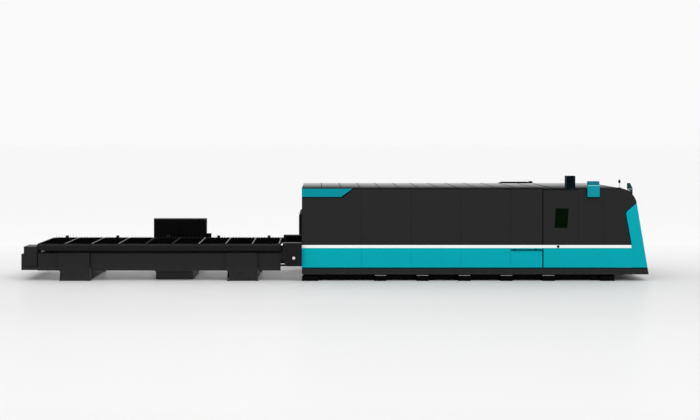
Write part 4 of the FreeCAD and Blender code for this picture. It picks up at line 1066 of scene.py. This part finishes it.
@dataclass
class Cabin:
    """Panels, stripe, skirt, nose, roof and base."""
    shop: Shop
    left: float = -0.835
    front: float = -1.705
    back: float = 1.795
    roof_top: float = 2.361
    roof_pitch: float = 0.5
    roof_bead_gap: float = 0.002
    roof_bead_sides: Flat = (0.006, 0.012)  # left and right of the joint
    roof_bead_levels: Flat = (0.003, 0.004)  # under and over the roof
    roof_fold_depth: Flat = (0.001, 0.03)  # before and behind the front
    roof_fold_levels: Flat = (0.024, 0.003)  # under and over the roof
    roof_fold_stop: float = 0.008
    door_seam: float = 5.318
    seam_half: float = 0.0055
    seam_lip: float = 0.0065
    seal_left: float = 0.0205
    seal_right: float = 0.0095
    seal_proud: float = 0.0015
    seal_sunk: Flat = (0.001, 0.02)  # behind the front
    seal_low: float = 0.345
    seal_top: float = 2.334
    teal_top: float = 0.835
    stripe_top: float = 0.916
    roof_seal_low: float = 2.338
    roof_seal_inset: float = 0.008
    roof_seal_drop: float = 0.002
    roof_bead: Flat = (5.550, 5.590)
    roof_bead_insets: Flat = (0.10, 0.45)  # from the front and the rear
    roof_bead_rise: float = 0.004
    cover_seam: float = 4.484
    cover_seam_half: float = 0.004
    cover_top: float = 0.785
    cover_gap: float = 0.015
    cover_strip: float = 0.015
    cover_edge: float = 0.016
    slot_depth: Flat = (0.012, 0.034)  # behind the front
    slot_laps: Flat = (0.002, 0.003)  # under and over the slot
    slot_shade_lip: float = 0.006
    hinge_y: float = -1.715
    guard_radius: float = 0.0112
    accent_proud: float = 0.0035
    skirt_end: float = 7.978
    skirt_inset: float = 0.002
    skirt_strip: Flat = (0.0285, 0.0005)  # drop of its lower and upper edge
    foot_first: float = 1.169
    foot_pitch: float = 1.0715
    foot_length: float = 0.300
    feet: int = 5
    pad_inset: float = 0.01
    pad_depth: Flat = (0.004, 0.044)
    pad_height: float = 0.015
    cap_inset: float = 0.004
    cap_depth: Flat = (0.002, 0.046)
    cap_top: float = 0.027
    skid: Flat = (6.55, 6.76)
    skid_depth: Flat = (0.12, 0.128)
    skid_levels: Flat = (0.004, 0.160)
    lock_spot: Flat = (5.710, 0.876)
    rosette_shift: float = 0.010
    rosette_radius: float = 0.034
    rosette_rise: float = 0.002
    gasket_width: float = 0.012
    gasket_proud: float = 0.003
    gasket_sunk: float = 0.0035
    rear_slot_starts: tuple[float, ...] = (1.1, 3.2, 6.4)
    rear_slot_levels: Flat = (1.55, 1.95)
    rear_slot_width: float = 0.6
    rear_slot_rise: float = 0.007
    rear_slots: int = 12
    rear_bolts: int = 15
    rear_bolt_inset: float = 0.12
    rear_bolt_pitch: float = 0.52
    rear_bolt_levels: Flat = (0.99, 2.26)
    rear_bolt_size: Flat = (0.008, 0.004)  # radius and rise
    window: tuple[Flat, ...] = ((5.631, 1.354), (5.932, 1.354), (5.966, 1.821),
                                (5.665, 1.821))
    gasket: tuple[Flat, ...] = ((5.606, 1.350), (5.936, 1.350), (5.970, 1.852),
                                (5.640, 1.852))
    edging: tuple[Flat, ...] = ((-0.825, 2.1418), (0.1645, 2.1418), (0.4572, 2.3516),
                                (0.505, 2.3516), (0.205, 2.113), (-0.825, 2.113))
    nose_edging: tuple[Flat, ...] = ((7.690, 1.998), (7.430, 1.783), (7.413, 1.707),
                                     (7.553, 0.919), (7.579, 0.919), (7.438, 1.706),
                                     (7.453, 1.766), (7.690, 1.972))

    def build(self) -> None:
        """Make the fine pieces of the cabin."""
        self.roof_joints()
        self.door_seal()
        self.cover_slot()
        self.accent_edging()
        self.teal_edging()
        self.lock_rosette()
        self.window_frame()
        self.foot_caps()
        self.rear_fittings()

    def roof_joints(self) -> None:
        """Lay a dark sealing bead in each pressed joint of the roof."""
        gap = self.roof_bead_gap
        before, after = self.roof_bead_sides
        drop, rise = self.roof_bead_levels
        joints = [self.left + index * self.roof_pitch for index in
                  range(1, int((self.door_seam - self.left) / self.roof_pitch) + 1)]
        self.shop.blocks("roof_joint_beads",
                         [((x - before, self.front + gap, self.roof_top - drop),
                           (x + after, self.back - gap, self.roof_top + rise))
                          for x in joints], "roof_trim", round_edge=PLATE_EDGE)
        out, inside = self.roof_fold_depth
        drop, rise = self.roof_fold_levels
        self.shop.blocks("roof_front_fold",
                         [((self.left, self.front - out, self.roof_top - drop),
                           (self.door_seam - self.roof_fold_stop, self.front + inside,
                            self.roof_top + rise))], "roof_trim", round_edge=0.0015)

    def door_seal(self) -> None:
        """Press a rubber seal into the wide joint, down the front and over the roof."""
        seam, face = self.door_seam, self.front
        left, right = seam - self.seam_half, seam + self.seam_half
        proud = face - self.seal_proud
        near, far = self.seal_sunk
        self.shop.blocks("door_joint_seal",
                         [((seam - self.seal_left, proud, self.stripe_top),
                           (seam - self.seam_lip, face, self.seal_top)),
                          ((left, face + near, self.seal_low),
                           (right, face + far, self.seal_top)),
                          ((seam + self.seam_lip, proud, self.seal_low),
                           (seam + self.seal_right, face, self.teal_top)),
                          ((left, face + self.roof_seal_inset, self.roof_seal_low),
                           (right, self.back - self.roof_seal_inset,
                            self.roof_top - self.roof_seal_drop))],
                         "seal_rubber", round_edge=THIN_EDGE)
        near, far = self.roof_bead_insets
        self.shop.blocks("roof_door_bead",
                         [((self.roof_bead[0], face + near, self.roof_top),
                           (self.roof_bead[1], self.back - far,
                            self.roof_top + self.roof_bead_rise))],
                         "seal_rubber", round_edge=PLATE_EDGE)

    def cover_slot(self) -> None:
        """Edge the access cover, fill the slot over it with dark strips of painted shade and
        guard its hinge.
        """
        left, right = self.cover_seam + self.cover_seam_half, self.door_seam - self.seam_lip
        face, top = self.front, self.cover_top
        proud, strip_low = face - self.seal_proud, top - self.cover_strip
        self.shop.blocks("access_cover_edging",
                         [((left, proud, strip_low), (right, face, top)),
                          ((right - self.cover_edge, proud, self.seal_low),
                           (right, face, strip_low))],
                         "dark_teal_and_painted_shade", "cover", THIN_EDGE)
        near, far = self.slot_depth
        drop, rise = self.slot_laps
        lip = top + self.cover_gap
        # painted shade: a dark strip inside the slot and a dark lip on the panel above it
        self.shop.blocks("cover_slot_painted_shade",
                         [((left, face + near, top - drop), (right, face + far, lip + rise)),
                          ((left, proud, lip), (right, face, lip + self.slot_shade_lip))],
                         "dark_teal_and_painted_shade", round_edge=THIN_EDGE)
        guard = bmesh.new()
        Shop.add_rod(guard, (left, self.hinge_y, top), self.guard_radius, right - left,
                     Axis.X, 20)
        self.shop.finish("cover_hinge_guard", guard, "dark_teal_and_painted_shade", "machine", smooth=True)

    def accent_edging(self) -> None:
        """Run a dark edging along the foot and the slanted end of the corner accent."""
        self.shop.plate("corner_accent_edging", list(self.edging),
                        self.front - self.accent_proud, self.front, "stack_navy")

    def teal_edging(self) -> None:
        """Cover the joints along the teal panels with dark strips, front and rear."""
        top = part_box("cabin_skirt")[1].z
        drop, gap = self.skirt_strip
        nose = bmesh.new()
        skirt = []
        for inner, outer in ((self.front, self.front - self.seal_proud),
                             (self.back, self.back + self.seal_proud)):
            Shop.add_prism(nose, list(self.nose_edging), Axis.Y, outer, inner)
            skirt.append(((self.left + self.skirt_inset, min(inner, outer), top - drop),
                          (self.skirt_end, max(inner, outer), top - gap)))
        self.shop.finish("nose_accent_edging", nose, "edge_teal", "machine", 0.0004)
        self.shop.blocks("skirt_top_edging", skirt, "edge_teal", round_edge=0.0004)

    def lock_rosette(self) -> None:
        """Ring the flap's lock with a round black plate."""
        x, z = self.lock_spot
        mesh = bmesh.new()
        Shop.add_rod(mesh, (x - self.rosette_shift, self.front, z), self.rosette_radius,
                     -self.rosette_rise, Axis.Y, 36)
        self.shop.finish("flap_lock_rosette", mesh, "seal_rubber", "machine", THIN_EDGE,
                         smooth=True)

    def window_frame(self) -> None:
        """Clamp the filter glass in a slim rubber frame."""
        mesh = bmesh.new()
        middle = (sum(x for x, _ in self.window) / 4, sum(z for _, z in self.window) / 4)
        inner = [self.towards(spot, middle, self.gasket_width) for spot in self.window]
        count = len(self.window)
        for index in range(count):
            after = (index + 1) % count
            for outer, near, far in ((self.gasket, self.front - self.gasket_proud, self.front),
                                     (self.window, self.front,
                                      self.front + self.gasket_sunk)):
                Shop.add_prism(mesh, [outer[index], outer[after], inner[after],
                                      inner[index]], Axis.Y, near, far)
        self.shop.finish("flap_window_frame", mesh, "gasket_green", "flap", 0.0006)

    @staticmethod
    def towards(spot: Flat, middle: Flat, inset: float) -> Flat:
        """Move a corner inwards along both ways."""
        return tuple(place + math.copysign(inset, centre - place)
                     for place, centre in zip(spot, middle))

    def foot_caps(self) -> None:
        """Put a bright plate on a dark pad on each base foot, as a painted reflection on its top.
        """
        low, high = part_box("bed_feet")
        split = high.z + self.pad_height
        caps, pads = [], []
        for index in range(self.feet):
            middle = self.foot_first + index * self.foot_pitch
            left, right = middle - self.foot_length / 2, middle + self.foot_length / 2
            pads.append(((left + self.pad_inset, low.y + self.pad_depth[0], high.z),
                         (right - self.pad_inset, low.y + self.pad_depth[1], split)))
            caps.append(((left + self.cap_inset, low.y + self.cap_depth[0], split),
                         (right - self.cap_inset, low.y + self.cap_depth[1],
                          high.z + self.cap_top)))
        # painted reflection: the bright plates on the feet tops
        self.shop.blocks("bed_foot_caps", caps, "foot_top_painted_reflection", round_edge=PLATE_EDGE)
        self.shop.blocks("bed_foot_pads", pads, "foot_iron", round_edge=PLATE_EDGE)
        self.shop.blocks("base_skid_plate",
                         [((self.skid[0], low.y + self.skid_depth[0], self.skid_levels[0]),
                           (self.skid[1], low.y + self.skid_depth[1], self.skid_levels[1]))],
                         "base_black", round_edge=PLATE_EDGE)

    def rear_fittings(self) -> None:
        """Give the rear wall air slots and bolt its panels on."""
        low, high = self.rear_slot_levels
        slots = bmesh.new()
        for start in self.rear_slot_starts:
            Shop.add_louvres(slots, (start, low), (start + self.rear_slot_width, high),
                             self.back, self.rear_slot_rise, self.rear_slots)
        self.shop.finish("rear_air_slots", slots, "panel_black", "machine", SHEET_EDGE)
        bolts = bmesh.new()
        for index in range(self.rear_bolts):
            x = self.left + self.rear_bolt_inset + index * self.rear_bolt_pitch
            for z in self.rear_bolt_levels:
                Shop.add_bolt(bolts, (x, self.back, z), *self.rear_bolt_size, Axis.Y)
        self.shop.finish("rear_panel_bolts", bolts, "panel_black", "machine")

    def dress(self) -> None:
        """Coat the cabin's nodes."""
        palette = self.shop.palette
        palette.nodes("panel_black", "front_panels", "rear_upper_panels",
                      "nose_side_panels", "service_flap")
        palette.nodes("dark_teal_and_painted_shade", "panel_hinges")
        # painted reflection on the nose's top
        palette.nodes("nose_painted_reflection", "nose_shell")
        palette.nodes("panel_teal", "front_lower_panels", "rear_lower_panels",
                      "nose_lower_panels", "access_cover")
        palette.nodes("accent_teal", "corner_accent")
        palette.nodes("stripe_white", "cabin_stripe")
        palette.nodes("skirt_black", "cabin_skirt")
        # painted reflection on the roof
        palette.nodes("roof_painted_reflection", "roof_panels")
        palette.nodes("base_black", "bed_base", "roof_duct")
        palette.nodes("foot_iron", "bed_feet")
        palette.nodes("inside_black", "cabin_posts", "cabin_beams", "portal_wall",
                      "door_pocket", "entry_door")
        palette.nodes("filter_glass", "flap_window")
        palette.nodes("seal_rubber", "flap_lock")


@dataclass
class RoofGear:
    """Extraction stack, side hood and signal beacon."""
    shop: Shop
    flange: float = 0.006
    flange_front: float = 0.004
    flange_height: float = 0.008
    slot_inset: float = 0.03
    slot_margins: Flat = (0.05, 0.06)  # from the bottom and the top
    slot_rises: Flat = (-0.003, 0.005)  # along Y, at the front and the rear
    slots: int = 7
    hood_highlight_edge: float = 2.433
    hood_slope: float = 0.060
    hood_inset: float = 0.002
    skin: Flat = (0.0013, 0.0007)  # outwards and upwards
    fold_levels: Flat = (0.010, 0.011)  # under and over the hood's edge
    proud: float = 0.0015
    shadow_side: float = 0.022
    shadow_drop: float = 0.045
    wall: float = -1.705
    wall_top: float = 2.333
    fin_low: Point = (7.486, -1.667, 2.355)
    fin_high: Point = (7.612, -1.568, 2.492)
    fin_round: float = 0.060
    fin_fall: float = 2.2
    cheek: tuple[Flat, ...] = ((7.512, 2.335), (7.598, 2.335), (7.600, 2.262), (7.555, 2.262))
    foot_radius: float = 0.055
    foot_height: float = 0.014
    ring_radius: float = 0.0295
    ring_height: float = 0.005
    ring_drop: float = 0.006
    stem_radius: float = 0.004
    stem_height: float = 0.063

    def build(self) -> None:
        """Make the trim of the stack, the hood, the fin and the beacon."""
        self.stack_trim()
        self.hood_trim()
        self.fin_cover()
        self.beacon_trim()

    def stack_trim(self) -> None:
        """Set the stack on a flange and press air slots into its front and rear."""
        low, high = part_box("extraction_stack")
        bottom, top = self.slot_margins
        mesh = bmesh.new()
        Shop.add_block(mesh, (low.x - self.flange, low.y - self.flange_front, low.z),
                       (high.x + self.flange, high.y + self.flange,
                        low.z + self.flange_height))
        for face, rise in zip((low.y, high.y), self.slot_rises):
            Shop.add_louvres(mesh, (low.x + self.slot_inset, low.z + bottom),
                             (high.x - self.slot_inset, high.z - top), face, rise, self.slots)
        self.shop.finish("stack_flange", mesh, "stack_navy", "machine", SHEET_EDGE)

    def hood_trim(self) -> None:
        """Skin the hood's slope in a darker teal as painted shade, fold a bright edge on it as a
        painted highlight and put a dark strip of painted shadow on the wall around it.
        """
        low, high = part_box("side_hood")
        edge, back = self.hood_highlight_edge, low.y + self.hood_slope
        left, right = low.x + self.hood_inset, high.x - self.hood_inset
        out, up = self.skin
        # painted shade: the slope gets a darker copy of the hood's teal
        slope = bmesh.new()
        Shop.add_prism(slope, [(low.y, edge), (back, high.z), (back - out, high.z + up),
                               (low.y - out, edge + up)], Axis.X, left, right)
        self.shop.finish("hood_slope_painted_shade", slope, "hood_slope", "machine")
        drop, rise = self.fold_levels
        # painted highlight: a pale teal strip along the hood's front edge
        self.shop.blocks("hood_painted_highlight_fold",
                         [((left, low.y - self.proud, edge - drop),
                           (right, low.y, edge + rise))], "hood_highlight_edge", round_edge=THIN_EDGE)
        # painted shadow: a dark teal strip on the wall beside and under the hood
        self.shop.blocks("hood_painted_shadow_strip",
                         [((low.x - self.shadow_side, self.wall - self.proud,
                            low.z - self.shadow_drop),
                           (high.x + self.shadow_side, self.wall, self.wall_top))],
                         "dark_teal_and_painted_shade", round_edge=THIN_EDGE)

    def fin_cover(self) -> None:
        """Cover the fin on the nose in teal darkened as painted shade, with its rounded rear
        corner.
        """
        (left, near, bottom), (right, far, top) = self.fin_low, self.fin_high
        self.shop.plate("nose_fin_cover",
                        [(left, bottom), (right, bottom),
                         (right, top - self.fin_fall * self.fin_round),
                         (left + self.fin_round, top), (left, top)], near, far, "fin_teal_painted_shade",
                        0.002)
        self.shop.plate("nose_fin_cheek", list(self.cheek), self.wall - self.proud, self.wall,
                        "fin_teal_painted_shade")

    def beacon_trim(self) -> None:
        """Make the beacon's foot, its rings and the thin stem on top."""
        pole_low, pole_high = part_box("beacon_pole")
        lamp_low, lamp_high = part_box("beacon_lamp")
        x, y = (pole_low.x + pole_high.x) / 2, (pole_low.y + pole_high.y) / 2
        rings = bmesh.new()
        Shop.add_rod(rings, (x, y, pole_low.z), self.foot_radius, self.foot_height, Axis.Z, 40)
        for level in (lamp_low.z, (lamp_low.z + lamp_high.z) / 2, lamp_high.z - self.ring_drop):
            Shop.add_rod(rings, (x, y, level), self.ring_radius, self.ring_height, Axis.Z, 40)
        self.shop.finish("beacon_rings", rings, "handle_black", "machine", 0.0015, smooth=True)
        stem = bmesh.new()
        Shop.add_rod(stem, (x, y, lamp_high.z), self.stem_radius, self.stem_height, Axis.Z, 16)
        self.shop.finish("beacon_stem", stem, "pole_grey", "machine", PLATE_EDGE, smooth=True)

    def dress(self) -> None:
        """Coat the fittings' nodes."""
        palette = self.shop.palette
        palette.nodes("stack_navy", "extraction_stack")
        palette.nodes("hood_teal", "side_hood")
        palette.nodes("pole_grey", "beacon_pole")
        palette.nodes("lamp_smoke", "beacon_lamp")


@dataclass
class GantryCell:
    """Gantry, carriage, head and laser source inside the cabin."""
    shop: Shop

    def dress(self) -> None:
        """Coat the gantry's nodes."""
        palette = self.shop.palette
        palette.nodes("gantry_grey", "gantry_column", "gantry_beam", "laser_source")
        palette.nodes("rail_steel", "gantry_rails", "head_carriage")
        palette.nodes("axle_steel", "cutting_head")


@dataclass
class Studio:
    """Pale floor with painted shade in front of the machine, soft light and the camera."""
    width: int = 700
    height: int = 420
    focal_pixels: float = 1255.0
    sensor: float = 36.0
    camera_place: Point = (-0.359, -33.705, 3.733)
    level_spot: Flat = (320.5, 134.5)
    farthest: float = 2000.0
    pale: float = 0.95
    floor_reach: float = 400.0
    floor_level: float = -0.001
    floor_painted_shade: float = 0.715
    floor_far: float = 0.85
    floor_back: float = 0.935
    floor_gloss: float = 0.006
    floor_rough: float = 0.32
    front_fade: Flat = (-16.5, -7.0)
    back_fade: Flat = (-2.0, 9.0)
    lamp_size: Flat = (24.0, 10.0)
    lamp_power: float = 750.0
    lamp_place: Point = (0.0, -9.0, 14.0)
    lamp_tilt: float = 30.0

    def build(self) -> None:
        """Set up the floor, the world, the lamp, the camera and the view."""
        self.floor()
        self.world()
        self.lamp()
        self.camera()
        bpy.context.scene.view_settings.view_transform = "Standard"

    def floor(self) -> None:
        """Lay a wide floor, darker in painted shade near the machine, that pales away from it."""
        mesh = bmesh.new()
        reach = self.floor_reach
        mesh.faces.new([mesh.verts.new((x, y, self.floor_level)) for x, y in
                        ((-reach, -reach), (reach, -reach), (reach, reach), (-reach, reach))])
        data = bpy.data.meshes.new("studio_floor")
        mesh.to_mesh(data)
        mesh.free()
        thing = bpy.data.objects.new("studio_floor", data)
        bpy.context.scene.collection.objects.link(thing)
        data.materials.append(self.floor_paint())

    def floor_paint(self) -> bpy.types.Material:
        """Grade the floor's grey along Y, darker in front of the machine as painted shade.

        Returns:
            The floor's material.
        """
        desk = Desk("floor_pale_painted_shade")
        # painted shade: a darker grey in front of the machine stands in for its shadow and
        # reflection, and pales with distance and behind it
        away = desk.spread(desk.along(Axis.Y), 1.0, 0.0, *self.front_fade)
        behind = desk.spread(desk.along(Axis.Y), 0.0, 1.0, *self.back_fade)
        front = desk.blend(away, (self.floor_painted_shade,) * 3, (self.floor_far,) * 3)
        desk.link(desk.blend(behind, front, (self.floor_back,) * 3),
                  desk.shader.inputs["Base Color"])
        desk.shader.inputs["Roughness"].default_value = self.floor_rough
        desk.shader.inputs["Specular IOR Level"].default_value = self.floor_gloss
        return desk.material

    def world(self) -> None:
        """Light the scene with an even white sky that looks pale where it is seen."""
        world = bpy.data.worlds.new("studio_sky")
        bpy.context.scene.world = world
        world.use_nodes = True
        tree = world.node_tree
        tree.nodes.clear()
        out = tree.nodes.new("ShaderNodeOutputWorld")
        mix = tree.nodes.new("ShaderNodeMixShader")
        rays = tree.nodes.new("ShaderNodeLightPath")
        for place, level in ((1, 1.0), (2, self.pale)):
            sky = tree.nodes.new("ShaderNodeBackground")
            sky.inputs["Color"].default_value = (level, level, level, 1.0)
            sky.inputs["Strength"].default_value = 1.0
            tree.links.new(sky.outputs[0], mix.inputs[place])
        share = rays.outputs["Is Camera Ray"]
        for kind in ("Is Glossy Ray", "Is Transmission Ray"):
            either = tree.nodes.new("ShaderNodeMath")
            either.operation = "MAXIMUM"
            tree.links.new(share, either.inputs[0])
            tree.links.new(rays.outputs[kind], either.inputs[1])
            share = either.outputs["Value"]
        tree.links.new(share, mix.inputs["Fac"])
        tree.links.new(mix.outputs[0], out.inputs["Surface"])

    def lamp(self) -> None:
        """Hang one large soft lamp over the front."""
        data = bpy.data.lights.new("studio_lamp", "AREA")
        data.shape = "RECTANGLE"
        data.size, data.size_y = self.lamp_size
        data.energy = self.lamp_power
        lamp = bpy.data.objects.new("studio_lamp", data)
        lamp.location = self.lamp_place
        lamp.rotation_euler = (math.radians(self.lamp_tilt), 0.0, 0.0)
        bpy.context.scene.collection.objects.link(lamp)

    def camera(self) -> None:
        """Stand the camera where the photograph was taken."""
        data = bpy.data.cameras.new("photo_camera")
        data.sensor_fit = "HORIZONTAL"
        data.sensor_width = self.sensor
        data.lens = self.focal_pixels / self.width * self.sensor
        data.shift_x = (self.width / 2 - self.level_spot[0]) / self.width
        data.shift_y = (self.level_spot[1] - self.height / 2) / self.width
        data.clip_end = self.farthest
        camera = bpy.data.objects.new("photo_camera", data)
        camera.location = self.camera_place
        camera.rotation_euler = (math.radians(90), 0.0, 0.0)
        bpy.context.scene.collection.objects.link(camera)
        bpy.context.scene.camera = camera


def main() -> None:
    """Build and dress every sub-assembly in order."""
    logging.basicConfig(level=logging.INFO, format="%(name)s: %(message)s")
    shop = Shop(Palette())
    cell = GantryCell(shop)
    built = (ExchangeTable(shop), ControlCabinet(shop), Cabin(shop), RoofGear(shop))
    for part in built:
        part.build()
        LOG.info("%s built", type(part).__name__)
    for part in (*built, cell):
        part.dress()
        LOG.info("%s dressed", type(part).__name__)
    Studio().build()


if __name__ == "__main__":
    main()
